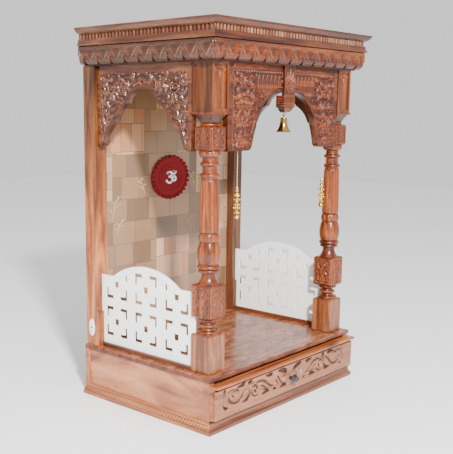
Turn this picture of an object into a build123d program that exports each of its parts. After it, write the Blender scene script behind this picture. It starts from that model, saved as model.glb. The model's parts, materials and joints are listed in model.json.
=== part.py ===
"""Pooja mandir: a wooden household temple that stands on a table or a floor.

A drawer base carries a platform. On it two turned columns in front and two square posts behind
hold up a moulded cornice. Cusped arch boards close the top of the front and of both sides, and
pierced lattice panels close the bottom of both sides. A brass bell hangs in the front arch.

Millimetres. X to the right, Y to the back, Z up. The origin is on the floor, under the middle
of the whole depth, drawer knob included.
"""

import os

from build123d import *

# Overall size
height = 914.0
cornice_width = 631.0
cornice_depth = 442.0

# Drawer base
base_inset = 23.7
base_setback = 25.0
side_thick = 16.0
base_back_thick = 16.0
base_back_proud = 3.3
base_floor_thick = 12.0
skirting_height = 26.7
skirting_reach = 11.5
platform_top = 130.0
platform_thick = 10.4
platform_overhang = 3.3
platform_edge_round = 3.0

# Drawer
drawer_gap = 0.4
drawer_clear = 5.2
drawer_front_thick = 12.0
drawer_lip_reach = 13.0
drawer_lip_height = 13.0
drawer_side_thick = 10.0
drawer_side_height = 62.0
drawer_bottom_thick = 5.0
drawer_bottom_rise = 6.0
drawer_back_clear = 16.4
runner_height = 5.0
runner_width = 14.0
runner_gap = 0.3
knob_reach = 24.6
knob_radius = 12.0
knob_stem_radius = 4.5
knob_rose_radius = 9.0
knob_rose_thick = 3.0
knob_facets = 8

# Front columns: square blocks with turned lengths between them
column_inset = 65.8
column_setback = 67.0
base_block = 54.6
base_block_height = 91.0
foot_turning_height = 38.0
carved_block_height = 76.7
block_chamfer = 2.5
top_block = 48.0
top_block_drop = 279.0
top_block_height = 53.0
cap_plate = 63.0
cap_plate_thick = 4.0

# Square boxes over the columns
box_size = 58.0
box_drop = 196.0
box_frame = 7.5
box_recess = 3.0

# Rear posts and back panel
post_width = 37.0
post_depth = 40.0
post_inset = 27.0
post_plinth_proud = 6.0
back_panel_thick = 8.0
back_panel_rebate = 16.0

# Lattice panels of the two sides
jali_thick = 4.0
jali_inset = 44.5
jali_tongue = 6.0
jali_groove_clear = 0.2
sill_height = 10.5
sill_width = 14.0
jali_shoulder = 315.0
jali_crown = 352.0
jali_shoulder_width = 42.0
cell_size = 76.0
cell_pitch_y = 101.5
cell_pitch_z = 96.5
cell_bottom_margin = 20.5
slot_width = 9.0
slot_arm = 27.0
centre_hole = 16.0
arch_rim = 13.0

# Arch boards
arch_board_thick = 14.0
arch_board_inset = 1.2
front_board_setback = 42.2
arch_foot_drop = 281.0
archivolt_width = 8.0
archivolt_proud = 2.0
cap_notch_clear = 0.3
stile_width = 16.0
reed_count = 3
reed_proud = 2.2

# Keystone and pendant in the front arch
keystone_width = 42.0
keystone_proud = 8.5
pendant_depth = 24.0
pendant_top_drop = 156.0
pendant_band_drop = 184.0
pendant_tip_drop = 196.0
pendant_tip_width = 12.0

# Cornice
ceiling_drop = 88.0
ceiling_thick = 6.0
cornice_box_inset = 30.6
cornice_box_thick = 12.0
roof_thick = 8.0
frieze_drop = 85.0
frieze_inset = 15.0
frieze_foot_inset = 22.0
frieze_swell_height = 16.0
petal_pitch_front = 48.2
petals_front = 6
petal_pitch_side = 45.6
petal_first_side = 43.6
petals_side = 9
petal_notch_width = 15.0
petal_notch_height = 16.0
fillet_drop = 42.0
fillet_thick = 5.0
fillet_inset = 8.6
fascia_inset = 12.0
dentil_drop = 27.0
dentil_height = 11.5
dentil_back_inset = 16.0
dentil_front_inset = 12.0
dentil_width = 4.8
dentil_pitch = 11.4
crown_edge = 3.0
crown_cove_reach = 14.5

# Bell
bell_height = 34.0
bell_mouth_radius = 16.5
bell_waist_radius = 9.5
bell_crown_radius = 6.0
bell_wall = 1.5
ring_radius = 3.0
ring_wire = 0.9
ring_gap = 0.3
eye_shank = 2.0
clapper_ball = 3.6
clapper_rise = 3.0

# Bead tassels
tassel_inset = 141.0
tassel_thread_length = 81.0
tassel_thread_radius = 0.7
tassel_length = 75.0
tassel_bead_radius = 5.0
bead_count = 6

# Plaque on the back panel and oval cover on the left rear post
plaque_width = 148.0
plaque_height = 120.0
plaque_thick = 4.0
plaque_above_middle = 63.0
plaque_scallops = 28
cover_width = 20.0
cover_height = 44.0
cover_thick = 2.5
cover_centre_z = 176.0

# Places worked out from the sizes above
knob_overhang = knob_reach - (base_setback - drawer_gap - drawer_front_thick)
back_y = (cornice_depth + knob_overhang) / 2
crown_front_y = back_y - cornice_depth
base_front_y = crown_front_y + base_setback
base_half = cornice_width / 2 - base_inset
base_width = 2 * base_half
base_top = platform_top - platform_thick
column_half_span = cornice_width / 2 - column_inset
post_outer = cornice_width / 2 - post_inset
jali_outer = cornice_width / 2 - jali_inset
tassel_half_span = cornice_width / 2 - tassel_inset
top_block_bottom = height - top_block_drop
box_bottom = height - box_drop
arch_foot_bottom = height - arch_foot_drop
pendant_top = height - pendant_top_drop
pendant_band_bottom = height - pendant_band_drop
pendant_tip = height - pendant_tip_drop
ceiling_bottom = height - ceiling_drop
frieze_bottom = height - frieze_drop
fillet_bottom = height - fillet_drop
fillet_top = fillet_bottom + fillet_thick
dentil_bottom = height - dentil_drop
dentil_top = dentil_bottom + dentil_height
plaque_centre_z = (platform_top + ceiling_bottom) / 2 + plaque_above_middle
base_back_y = back_y - base_back_thick
column_y = crown_front_y + column_setback
post_front_y = back_y - post_depth
post_inner = post_outer - post_width
base_block_top = platform_top + base_block_height
carved_block_bottom = base_block_top + foot_turning_height
carved_block_top = carved_block_bottom + carved_block_height
block_rear_y = column_y + base_block / 2
box_rear_y = column_y + box_size / 2
box_front_y = column_y - box_size / 2
box_inner = column_half_span - box_size / 2
box_outer = column_half_span + box_size / 2
side_middle_y = (block_rear_y + post_front_y) / 2
front_board_y = crown_front_y + front_board_setback
front_board_middle_y = front_board_y + arch_board_thick / 2
ceiling_top = ceiling_bottom + ceiling_thick
cornice_box_half = cornice_width / 2 - cornice_box_inset
cornice_box_front_y = crown_front_y + cornice_box_inset
roof_bottom = height - roof_thick

pieces = {}


def board(x_range, y_range, z_range):
    """A plain board between two limits on each axis."""
    (x0, x1), (y0, y1), (z0, z1) = x_range, y_range, z_range
    with BuildPart() as piece:
        with BuildSketch(Plane.XY.offset(z0)):
            with Locations(((x0 + x1) / 2, (y0 + y1) / 2)):
                Rectangle(x1 - x0, y1 - y0)
        extrude(amount=z1 - z0)
    return piece


def mirrored(left):
    """The right-hand twin of a left-hand piece."""
    with BuildPart() as right:
        mirror(left.part, about=Plane.YZ)
    return right


def facing_front(x, y, z):
    """A drawing plane at that place that faces the front, with Z up on the drawing."""
    return Plane((x, y, z), x_dir=(1, 0, 0), z_dir=(0, -1, 0))


def facing_left(x, y, z):
    """A drawing plane at that place that faces the left side, with Z up on the drawing."""
    return Plane((x, y, z), x_dir=(0, -1, 0), z_dir=(-1, 0, 0))


# Mouldings that turn the two front corners


def mitred_runs(outline, half_width, front_y):
    """Front, left and right runs of one moulding, mitred at the front corners.

    outline(place) draws the section, and place(inset, z) gives the point that lies that far
    inside the corner on the section's own plane.
    """
    left_corner = (-half_width, front_y, 0)
    right_corner = (half_width, front_y, 0)
    with BuildPart() as front:
        with BuildSketch(Plane.YZ):
            with BuildLine():
                outline(lambda inset, z: (front_y + inset, z))
            make_face()
        extrude(amount=half_width + skirting_reach, both=True)
        split(bisect_by=Plane(left_corner, z_dir=(1, -1, 0)), keep=Keep.TOP)
        split(bisect_by=Plane(right_corner, z_dir=(-1, -1, 0)), keep=Keep.TOP)
    with BuildPart() as left:
        with BuildSketch(Plane.XZ.offset(-back_y)):
            with BuildLine():
                outline(lambda inset, z: (-half_width + inset, z))
            make_face()
        extrude(amount=back_y - front_y + skirting_reach)
        split(bisect_by=Plane(left_corner, z_dir=(-1, 1, 0)), keep=Keep.TOP)
    return front, left, mirrored(left)


# Base: two side panels, a back, a floor and a flared skirting round the foot

pieces["base_left_side"] = board(
    (-base_half, -base_half + side_thick), (base_front_y, base_back_y), (0, base_top)
)
pieces["base_right_side"] = mirrored(pieces["base_left_side"])

with BuildPart() as base_back:
    with BuildSketch(Plane.XZ.offset(-back_y)):
        with Locations((0, skirting_height / 2)):
            Rectangle(base_width, skirting_height)
        with Locations((0, (skirting_height + base_top) / 2)):
            Rectangle(base_width + 2 * base_back_proud, base_top - skirting_height)
    extrude(amount=base_back_thick)
pieces["base_back"] = base_back

base_inner = base_half - side_thick
pieces["base_floor"] = board(
    (-base_inner, base_inner),
    (base_front_y, base_back_y),
    (skirting_height - base_floor_thick, skirting_height),
)


def skirting_section(place):
    """Flared foot: upright edge, cove and a small bead on top. Inset 0 is the outer edge."""
    bead = 5.0
    edge = 8.0
    shelf = skirting_reach - bead
    Polyline(
        place(skirting_reach, skirting_height),
        place(skirting_reach, 0),
        place(0, 0),
        place(0, edge),
    )
    ThreePointArc(
        place(0, edge),
        place(shelf * 0.72, edge + (skirting_height - bead - edge) * 0.42),
        place(shelf, skirting_height - bead),
    )
    ThreePointArc(
        place(shelf, skirting_height - bead),
        place(shelf - bead / 3, skirting_height - bead / 2),
        place(shelf, skirting_height),
    )
    Line(place(shelf, skirting_height), place(skirting_reach, skirting_height))


skirting = mitred_runs(
    skirting_section, base_half + skirting_reach, base_front_y - skirting_reach
)
pieces["skirting_front"], pieces["skirting_left"], pieces["skirting_right"] = skirting

# Platform: one board with a rounded front and side edge

platform_half = base_half + platform_overhang
with BuildPart() as platform:
    with BuildSketch(Plane.XY.offset(base_top)):
        front = base_front_y - platform_overhang
        with Locations((0, (front + back_y) / 2)):
            Rectangle(2 * platform_half, back_y - front)
    extrude(amount=platform_thick)
    rim = platform.edges().group_by(Axis.Z)[-1]
    fillet(rim.sort_by(Axis.Y)[:-1], radius=platform_edge_round)
pieces["platform"] = platform

# Drawer: overlay front with a moulded lip, a dovetail-height box and a faceted knob

drawer_front_back_y = base_front_y - drawer_gap
drawer_face_y = drawer_front_back_y - drawer_front_thick
drawer_front_bottom = skirting_height + drawer_clear
drawer_front_top = base_top - drawer_clear
lip_bottom = drawer_front_top - drawer_lip_height
with BuildPart() as drawer_front:
    with BuildSketch(Plane.YZ):
        with BuildLine():
            lip_y = drawer_face_y - drawer_lip_reach
            lip_edge = 4.0
            Polyline(
                (drawer_front_back_y, drawer_front_top),
                (drawer_front_back_y, drawer_front_bottom),
                (drawer_face_y, drawer_front_bottom),
                (drawer_face_y, lip_bottom),
            )
            ThreePointArc(
                (drawer_face_y, lip_bottom),
                (drawer_face_y - drawer_lip_reach * 0.3, lip_bottom + drawer_lip_height * 0.42),
                (lip_y + 1, drawer_front_top - lip_edge - 2),
            )
            Line((lip_y + 1, drawer_front_top - lip_edge - 2), (lip_y, drawer_front_top - lip_edge))
            ThreePointArc(
                (lip_y, drawer_front_top - lip_edge),
                (lip_y + 1, drawer_front_top - 1.5),
                (lip_y + 4, drawer_front_top - 0.5),
            )
            Line((lip_y + 4, drawer_front_top - 0.5), (drawer_front_back_y, drawer_front_top))
        make_face()
    extrude(amount=base_half, both=True)
pieces["drawer_front"] = drawer_front

drawer_half = base_inner - drawer_clear
drawer_bottom_z = skirting_height + runner_height + runner_gap
drawer_side_top = drawer_bottom_z + drawer_side_height
drawer_rear_y = base_back_y - drawer_back_clear
pieces["drawer_left_side"] = board(
    (-drawer_half, -drawer_half + drawer_side_thick),
    (drawer_front_back_y, drawer_rear_y),
    (drawer_bottom_z, drawer_side_top),
)
pieces["drawer_right_side"] = mirrored(pieces["drawer_left_side"])
drawer_inner = drawer_half - drawer_side_thick
pieces["drawer_back"] = board(
    (-drawer_inner, drawer_inner),
    (drawer_rear_y - drawer_side_thick, drawer_rear_y),
    (drawer_bottom_z, drawer_side_top),
)
drawer_floor_z = drawer_bottom_z + drawer_bottom_rise
pieces["drawer_bottom"] = board(
    (-drawer_inner, drawer_inner),
    (drawer_front_back_y, drawer_rear_y - drawer_side_thick),
    (drawer_floor_z, drawer_floor_z + drawer_bottom_thick),
)

runner_x = drawer_half - drawer_side_thick / 2
runner_middle_y = (base_front_y + base_back_y) / 2
with BuildPart() as drawer_runners:
    with BuildSketch(Plane.XY.offset(skirting_height)):
        with Locations((-runner_x, runner_middle_y), (runner_x, runner_middle_y)):
            Rectangle(runner_width, base_back_y - base_front_y)
    extrude(amount=runner_height)
pieces["drawer_runners"] = drawer_runners

knob_z = (drawer_front_bottom + lip_bottom) / 2
knob_seat = facing_front(0, drawer_face_y, knob_z)
with BuildPart() as drawer_knob:
    with BuildSketch(knob_seat):
        Circle(knob_rose_radius)
    extrude(amount=knob_rose_thick)
    head_start = knob_reach * 0.45
    with BuildSketch(knob_seat.offset(knob_rose_thick)):
        Circle(knob_stem_radius)
    extrude(amount=head_start - knob_rose_thick)
    girdle = knob_reach * 0.68
    with BuildSketch(knob_seat.offset(head_start)):
        RegularPolygon(knob_stem_radius * 1.2, knob_facets)
    with BuildSketch(knob_seat.offset(girdle)):
        RegularPolygon(knob_radius, knob_facets)
    loft()
    with BuildSketch(knob_seat.offset(girdle)):
        RegularPolygon(knob_radius, knob_facets)
    with BuildSketch(knob_seat.offset(knob_reach)):
        RegularPolygon(knob_radius * 0.55, knob_facets)
    loft()
pieces["drawer_knob"] = drawer_knob

# Front columns. A turned length is a row of stations: height, radius, and how far the line to
# the next station swells out (+) or is hollowed in (-). It is stretched to the length it fills.

foot_turning = [
    (0.0, 24.0, 0.0),
    (2.0, 24.0, 2.0),
    (8.0, 22.0, -4.0),
    (15.0, 15.0, 0.0),
    (16.0, 19.0, 2.0),
    (22.0, 19.0, 0.0),
    (23.0, 15.0, -4.0),
    (30.0, 22.0, 2.0),
    (36.0, 24.0, 0.0),
    (38.0, 24.0, 0.0),
]
shaft_turning = [
    (0.0, 23.0, 0.0),
    (3.0, 23.0, -1.8),
    (22.0, 15.5, 0.0),
    (26.0, 15.5, 0.0),
    (27.0, 21.3, 2.6),
    (34.5, 21.3, 0.0),
    (35.5, 23.6, 2.6),
    (44.0, 23.6, 0.0),
    (46.0, 22.0, 4.2),
    (96.0, 20.5, 0.0),
    (98.0, 21.4, 0.6),
    (114.0, 21.4, 0.0),
    (116.0, 20.4, 0.4),
    (237.5, 18.0, 0.0),
    (241.0, 18.6, 3.2),
    (249.0, 18.6, 0.0),
    (251.0, 16.8, -0.6),
    (264.0, 16.8, 0.0),
    (266.0, 18.6, 3.2),
    (274.0, 18.6, 0.0),
    (276.0, 16.8, -0.6),
    (284.0, 16.8, 0.0),
    (286.0, 21.8, 1.2),
    (299.3, 23.6, 0.0),
]
neck_turning = [
    (0.0, 20.0, 1.8),
    (6.0, 20.0, 0.0),
    (7.0, 12.5, -1.0),
    (13.0, 12.5, -3.0),
    (26.0, 24.0, 0.0),
]


def turned(stations, x, y, z, top_z):
    """Turn a row of stations about the upright line through (x, y), from height z to top_z."""
    stretch = (top_z - z) / stations[-1][0]
    stations = [(station * stretch, radius, swell) for station, radius, swell in stations]
    with BuildPart() as turning:
        with BuildSketch(facing_front(x, y, z)):
            with BuildLine():
                Line((0, stations[0][0]), (stations[0][1], stations[0][0]))
                for (h0, r0, swell), (h1, r1, _) in zip(stations, stations[1:]):
                    if swell:
                        middle = ((r0 + r1) / 2 + swell, (h0 + h1) / 2)
                        ThreePointArc((r0, h0), middle, (r1, h1))
                    else:
                        Line((r0, h0), (r1, h1))
                Line((stations[-1][1], stations[-1][0]), (0, stations[-1][0]))
                Line((0, stations[-1][0]), (0, stations[0][0]))
            make_face()
        revolve(axis=Axis((x, y, z), (0, 0, 1)))
    return turning.part


def square_block(x, y, size, z, block_height):
    """A square block with the edges of its two end faces chamfered."""
    with BuildPart() as block:
        with BuildSketch(Plane.XY.offset(z)):
            with Locations((x, y)):
                Rectangle(size, size)
        extrude(amount=block_height)
        ends = block.edges().group_by(Axis.Z)
        chamfer(ends[0] + ends[-1], length=block_chamfer)
    return block.part


groove_half = jali_thick / 2 + jali_groove_clear
jali_middle_x = jali_outer - jali_thick / 2
jali_front_y = block_rear_y - jali_tongue
jali_rear_y = post_front_y + jali_tongue
sill_top = platform_top + sill_height

axis_x = -column_half_span
top_block_top = top_block_bottom + top_block_height
column_lengths = [
    square_block(axis_x, column_y, base_block, platform_top, base_block_height),
    turned(foot_turning, axis_x, column_y, base_block_top, carved_block_bottom),
    square_block(axis_x, column_y, base_block, carved_block_bottom, carved_block_height),
    turned(shaft_turning, axis_x, column_y, carved_block_top, top_block_bottom),
    square_block(axis_x, column_y, top_block, top_block_bottom, top_block_height),
    turned(neck_turning, axis_x, column_y, top_block_top, box_bottom - cap_plate_thick),
]
with BuildPart() as left_column:
    add(column_lengths)
    with BuildSketch(Plane.XY.offset(box_bottom - cap_plate_thick)):
        with Locations((-column_half_span, column_y)):
            Rectangle(cap_plate, cap_plate)
    extrude(amount=cap_plate_thick)
    with BuildSketch(Plane.XY.offset(sill_top)):
        with Locations((-jali_middle_x, block_rear_y)):
            Rectangle(2 * groove_half, 2 * (jali_tongue + jali_groove_clear))
    extrude(amount=jali_shoulder + jali_groove_clear - sill_top, mode=Mode.SUBTRACT)
pieces["left_column"] = left_column
pieces["right_column"] = mirrored(left_column)

# Boxes over the columns, with a sunk panel on the front and on the outer face

box_panel_width = box_size - 2 * box_frame
box_panel_height = ceiling_bottom - box_bottom - 2 * box_frame
box_middle_z = (box_bottom + ceiling_bottom) / 2
box_front = facing_front(axis_x, box_front_y, box_middle_z)
box_side = facing_left(-box_outer, column_y, box_middle_z)
with BuildPart() as left_box:
    with BuildSketch(Plane.XY.offset(box_bottom)):
        with Locations((-column_half_span, column_y)):
            Rectangle(box_size, box_size)
    extrude(amount=ceiling_bottom - box_bottom)
    with BuildSketch(box_front, box_side):
        Rectangle(box_panel_width, box_panel_height)
    extrude(amount=-box_recess, mode=Mode.SUBTRACT)
pieces["left_box"] = left_box
pieces["right_box"] = mirrored(left_box)

# Rear posts, rebated for the back panel and grooved for the lattice

back_panel_front_y = back_y - back_panel_rebate
with BuildPart() as rear_left_post:
    with BuildSketch(Plane.XY.offset(platform_top)):
        with Locations((-(post_outer + post_inner) / 2, (post_front_y + back_y) / 2)):
            Rectangle(post_width, post_depth)
    extrude(amount=ceiling_bottom - platform_top)
    with BuildSketch(Plane.XY.offset(platform_top)):
        with Locations((-(post_outer + post_inner) / 2, post_front_y - post_plinth_proud / 2)):
            Rectangle(post_width, post_plinth_proud)
    extrude(amount=base_block_height)
    with BuildSketch(Plane.XY.offset(platform_top)):
        with Locations((-jali_middle_x, post_front_y)):
            Rectangle(2 * groove_half, 2 * (jali_tongue + jali_groove_clear))
    extrude(amount=jali_shoulder + jali_groove_clear - platform_top, mode=Mode.SUBTRACT)
pieces["rear_left_post"] = rear_left_post
pieces["rear_right_post"] = mirrored(rear_left_post)

pieces["back_panel"] = board(
    (-post_inner, post_inner),
    (back_panel_front_y, back_panel_front_y + back_panel_thick),
    (platform_top, ceiling_bottom),
)

# Lattice panels: an arched top over rows of cells, each cell four corner slots and a square hole

pieces["left_sill"] = board(
    (-jali_middle_x - sill_width / 2, -jali_middle_x + sill_width / 2),
    (block_rear_y, post_front_y - post_plinth_proud),
    (platform_top, sill_top),
)
pieces["right_sill"] = mirrored(pieces["left_sill"])


def lattice_outline(inset):
    """Arched face of the panel, drawn that far inside its edge, as Y and Z."""
    front = jali_front_y + inset
    rear = jali_rear_y - inset
    arch_half = (post_front_y - block_rear_y) / 2 - jali_shoulder_width - inset
    shoulder = jali_shoulder - inset
    with BuildSketch() as outline:
        with BuildLine():
            Polyline(
                (side_middle_y + arch_half, shoulder),
                (rear, shoulder),
                (rear, sill_top + inset),
                (front, sill_top + inset),
                (front, shoulder),
                (side_middle_y - arch_half, shoulder),
            )
            ThreePointArc(
                (side_middle_y - arch_half, shoulder),
                (side_middle_y, jali_crown - inset),
                (side_middle_y + arch_half, shoulder),
            )
        make_face()
    return outline.sketch


cell_rows = [
    sill_top + cell_bottom_margin + cell_size / 2 + row * cell_pitch_z for row in range(2)
]
cell_columns = [side_middle_y + column * cell_pitch_y for column in (-1, 0, 1)]
panel_face = lattice_outline(0)
pierced_field = lattice_outline(arch_rim)
with BuildPart() as left_jali:
    with BuildSketch(Plane.YZ.offset(-jali_outer)):
        add(panel_face)
    extrude(amount=jali_thick)
    with BuildSketch(Plane.YZ.offset(-jali_outer)):
        long_offset = (cell_size - slot_arm) / 2
        short_offset = (cell_size - slot_width) / 2
        for z in cell_rows:
            for y in cell_columns:
                with Locations((y, z)):
                    Rectangle(centre_hole, centre_hole)
                    with GridLocations(2 * long_offset, 2 * short_offset, 2, 2):
                        Rectangle(slot_arm, slot_width)
                    with GridLocations(2 * short_offset, 2 * long_offset, 2, 2):
                        Rectangle(slot_width, slot_arm)
        add(pierced_field, mode=Mode.INTERSECT)
    extrude(amount=jali_thick, mode=Mode.SUBTRACT)
pieces["left_jali"] = left_jali
pieces["right_jali"] = mirrored(left_jali)

# Arch boards. Each half of an opening is three foils that meet in points: the crown foil, the
# haunch foil and the foot foil. A foil is a start, a point that it bends through and an end, each
# given as a share of the board's half span and a depth below the ceiling.

side_foils = [
    ((0.000, 55.0), (0.203, 63.5), (0.330, 89.0)),
    ((0.330, 89.0), (0.490, 107.0), (0.592, 133.5)),
    ((0.592, 133.5), (0.758, 154.0), (0.843, 186.0)),
]
front_foils = [
    ((0.000, 63.0), (0.308, 72.0), (0.471, 105.0)),
    ((0.471, 105.0), (0.519, 121.0), (0.539, 139.0)),
    ((0.539, 139.0), (0.582, 162.0), (0.607, 181.0)),
]
foot_corner = 14.0


def arch_opening(foils, half_span, middle):
    """The opening under a cusped arch, closed below the board's feet."""
    below = arch_foot_bottom - 2 * archivolt_width
    foils = [[(share * half_span, ceiling_bottom - down) for share, down in foil] for foil in foils]
    foot_across, foot_up = foils[-1][-1]
    turn = min(foot_corner, foot_up - arch_foot_bottom + foot_corner / 2)
    with BuildSketch() as opening:
        with BuildLine():
            for side in (-1, 1):
                for points in foils:
                    ThreePointArc(*[(middle + side * across, up) for across, up in points])
                ThreePointArc(
                    (middle + side * foot_across, foot_up),
                    (middle + side * (foot_across + turn * 0.3), arch_foot_bottom + turn * 0.3),
                    (middle + side * (foot_across + turn), arch_foot_bottom),
                )
                Polyline(
                    (middle + side * (foot_across + turn), arch_foot_bottom),
                    (middle + side * half_span, arch_foot_bottom),
                    (middle + side * half_span, below),
                )
            Line((middle - half_span, below), (middle + half_span, below))
        make_face()
    return opening.sketch


side_half = (post_front_y - box_rear_y) / 2
side_arch_middle = (post_front_y + box_rear_y) / 2
side_board_x = box_outer - arch_board_inset


def arch_faces(foils, half_span, middle):
    """The face of an arch board, and the band of moulding that follows its opening."""
    opening = arch_opening(foils, half_span, middle)
    with BuildSketch() as face:
        with Locations((middle, (arch_foot_bottom + ceiling_bottom) / 2)):
            Rectangle(2 * half_span, ceiling_bottom - arch_foot_bottom)
        add(opening, mode=Mode.SUBTRACT)
    with BuildSketch() as band:
        add(opening)
        offset(amount=archivolt_width)
        add(face.sketch, mode=Mode.INTERSECT)
    return face.sketch, band.sketch


# The cap plates of the columns stand out past the boxes, and the boards are notched for them
cap_clear_size = cap_plate + 2 * cap_notch_clear
with BuildPart() as cap_clearance:
    with BuildSketch(Plane.XY.offset(box_bottom - cap_plate_thick - cap_notch_clear)):
        with Locations((-column_half_span, column_y), (column_half_span, column_y)):
            Rectangle(cap_clear_size, cap_clear_size)
    extrude(amount=cap_plate_thick + 2 * cap_notch_clear)

side_face, side_band = arch_faces(side_foils, side_half, side_arch_middle)
with BuildPart() as left_arch:
    with BuildSketch(Plane.YZ.offset(-side_board_x)):
        add(side_face)
    extrude(amount=arch_board_thick)
    with BuildSketch(Plane.YZ.offset(-side_board_x)):
        add(side_band)
    extrude(amount=-archivolt_proud)
    add(cap_clearance.part, mode=Mode.SUBTRACT)
pieces["left_arch"] = left_arch
pieces["right_arch"] = mirrored(left_arch)

front_face, front_band = arch_faces(front_foils, box_inner, 0)
with BuildPart() as front_arch:
    with BuildSketch(Plane.XZ.offset(-front_board_y)):
        add(front_face)
    extrude(amount=-arch_board_thick)
    with BuildSketch(Plane.XZ.offset(-front_board_y)):
        add(front_band)
        with Locations((0, (pendant_band_bottom + ceiling_bottom) / 2)):
            Rectangle(keystone_width, ceiling_bottom - pendant_band_bottom, mode=Mode.SUBTRACT)
    extrude(amount=archivolt_proud)
    reed_pitch = stile_width / reed_count
    with BuildSketch(Plane.XY.offset(arch_foot_bottom)):
        for side in (-1, 1):
            for reed in range(reed_count):
                reed_x = side * (box_inner - reed_pitch * (reed + 0.5))
                with Locations((reed_x, front_board_y)):
                    Ellipse(reed_pitch / 2, reed_proud)
    extrude(amount=ceiling_bottom - arch_foot_bottom)
    add(cap_clearance.part, mode=Mode.SUBTRACT)
pieces["front_arch"] = front_arch

# Keystone: a flat strip down the middle of the front arch that ends in a banded pendant

keystone_front_y = front_board_y - keystone_proud
with BuildPart() as keystone:
    with BuildSketch(Plane.XY.offset(pendant_top)):
        with Locations((0, (keystone_front_y + front_board_y) / 2)):
            Rectangle(keystone_width, keystone_proud)
    extrude(amount=ceiling_bottom - pendant_top)
    pendant_y = keystone_front_y + pendant_depth / 2
    with BuildSketch(Plane.XY.offset(pendant_band_bottom)):
        with Locations((0, pendant_y)):
            Rectangle(keystone_width, pendant_depth)
    extrude(amount=pendant_top - pendant_band_bottom)
    with BuildSketch(Plane.XY.offset(pendant_band_bottom)):
        with Locations((0, pendant_y)):
            Rectangle(keystone_width * 0.86, pendant_depth * 0.86)
    with BuildSketch(Plane.XY.offset((pendant_band_bottom + pendant_tip) / 2)):
        with Locations((0, pendant_y)):
            Rectangle(keystone_width * 0.72, pendant_depth * 0.72)
    with BuildSketch(Plane.XY.offset(pendant_tip)):
        with Locations((0, front_board_middle_y)):
            Rectangle(pendant_tip_width, pendant_tip_width * 0.8)
    loft()
pieces["keystone"] = keystone

# Ceiling, cornice box and roof

pieces["ceiling_board"] = board(
    (-cornice_box_half, cornice_box_half),
    (cornice_box_front_y, back_y),
    (ceiling_bottom, ceiling_top),
)
with BuildPart() as cornice_box:
    with BuildSketch(Plane.XY.offset(ceiling_top)):
        with Locations((0, (cornice_box_front_y + back_y) / 2)):
            Rectangle(2 * cornice_box_half, back_y - cornice_box_front_y)
            Rectangle(
                2 * (cornice_box_half - cornice_box_thick),
                back_y - cornice_box_front_y - 2 * cornice_box_thick,
                mode=Mode.SUBTRACT,
            )
    extrude(amount=roof_bottom - ceiling_top)
pieces["cornice_box"] = cornice_box
pieces["roof_board"] = board(
    (-cornice_box_half, cornice_box_half), (cornice_box_front_y, back_y), (roof_bottom, height)
)


def frieze_section(place):
    """Petal frieze: upright above, swelling in towards its lower edge."""
    swell_top = frieze_bottom + frieze_swell_height
    Polyline(
        place(frieze_foot_inset, frieze_bottom),
        place(cornice_box_inset, frieze_bottom),
        place(cornice_box_inset, fillet_bottom),
        place(frieze_inset, fillet_bottom),
        place(frieze_inset, swell_top),
    )
    swell_in = (frieze_foot_inset - frieze_inset) * 0.25
    ThreePointArc(
        place(frieze_inset, swell_top),
        place(frieze_inset + swell_in, frieze_bottom + frieze_swell_height * 0.45),
        place(frieze_foot_inset, frieze_bottom),
    )


def cornice_section(place):
    """Fillet, fascia, dentil bed, cove and square crown edge."""
    crown_foot = height - crown_edge
    cove_bend = dentil_top + (crown_foot - dentil_top) * 0.38
    Polyline(
        place(dentil_back_inset, dentil_top),
        place(dentil_back_inset, dentil_bottom),
        place(fascia_inset, dentil_bottom),
        place(fascia_inset, fillet_top),
        place(fillet_inset, fillet_top),
        place(fillet_inset, fillet_bottom),
        place(cornice_box_inset, fillet_bottom),
        place(cornice_box_inset, height),
        place(0, height),
        place(0, crown_foot),
        place(dentil_back_inset - crown_cove_reach, crown_foot),
    )
    ThreePointArc(
        place(dentil_back_inset - crown_cove_reach, crown_foot),
        place(dentil_back_inset - crown_cove_reach * 0.62, cove_bend),
        place(dentil_back_inset, dentil_top),
    )


def notched(run, plane, places):
    """Cut pointed notches between neighbouring petals up through a run of the frieze."""
    half = petal_notch_width / 2
    tip = frieze_bottom + petal_notch_height
    waist = frieze_bottom + petal_notch_height * 0.42
    with BuildPart() as petals:
        add(run.part)
        with BuildSketch(plane):
            for along in places:
                start = (along - half, frieze_bottom)
                end = (along + half, frieze_bottom)
                with BuildLine():
                    ThreePointArc(start, (along - half * 0.3, waist), (along, tip))
                    ThreePointArc((along, tip), (along + half * 0.3, waist), end)
                    Line(end, start)
                make_face()
        extrude(amount=cornice_box_inset, mode=Mode.SUBTRACT)
    return petals


front_notches = [(k + 0.5) * petal_pitch_front for k in range(-petals_front, petals_front)]
first_notch_y = crown_front_y + frieze_inset + petal_first_side
side_notches = [first_notch_y + k * petal_pitch_side for k in range(petals_side)]
front_notch_plane = Plane.XZ.offset(-crown_front_y - cornice_box_inset)
side_notch_plane = Plane.YZ.offset(-cornice_width / 2)
frieze_front, frieze_left, _ = mitred_runs(frieze_section, cornice_width / 2, crown_front_y)
frieze_front = notched(frieze_front, front_notch_plane, front_notches)
frieze_left = notched(frieze_left, side_notch_plane, side_notches)
pieces["frieze_front"] = frieze_front
pieces["frieze_left"] = frieze_left
pieces["frieze_right"] = mirrored(frieze_left)

cornice = mitred_runs(cornice_section, cornice_width / 2, crown_front_y)
pieces["cornice_front"], pieces["cornice_left"], pieces["cornice_right"] = cornice

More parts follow.
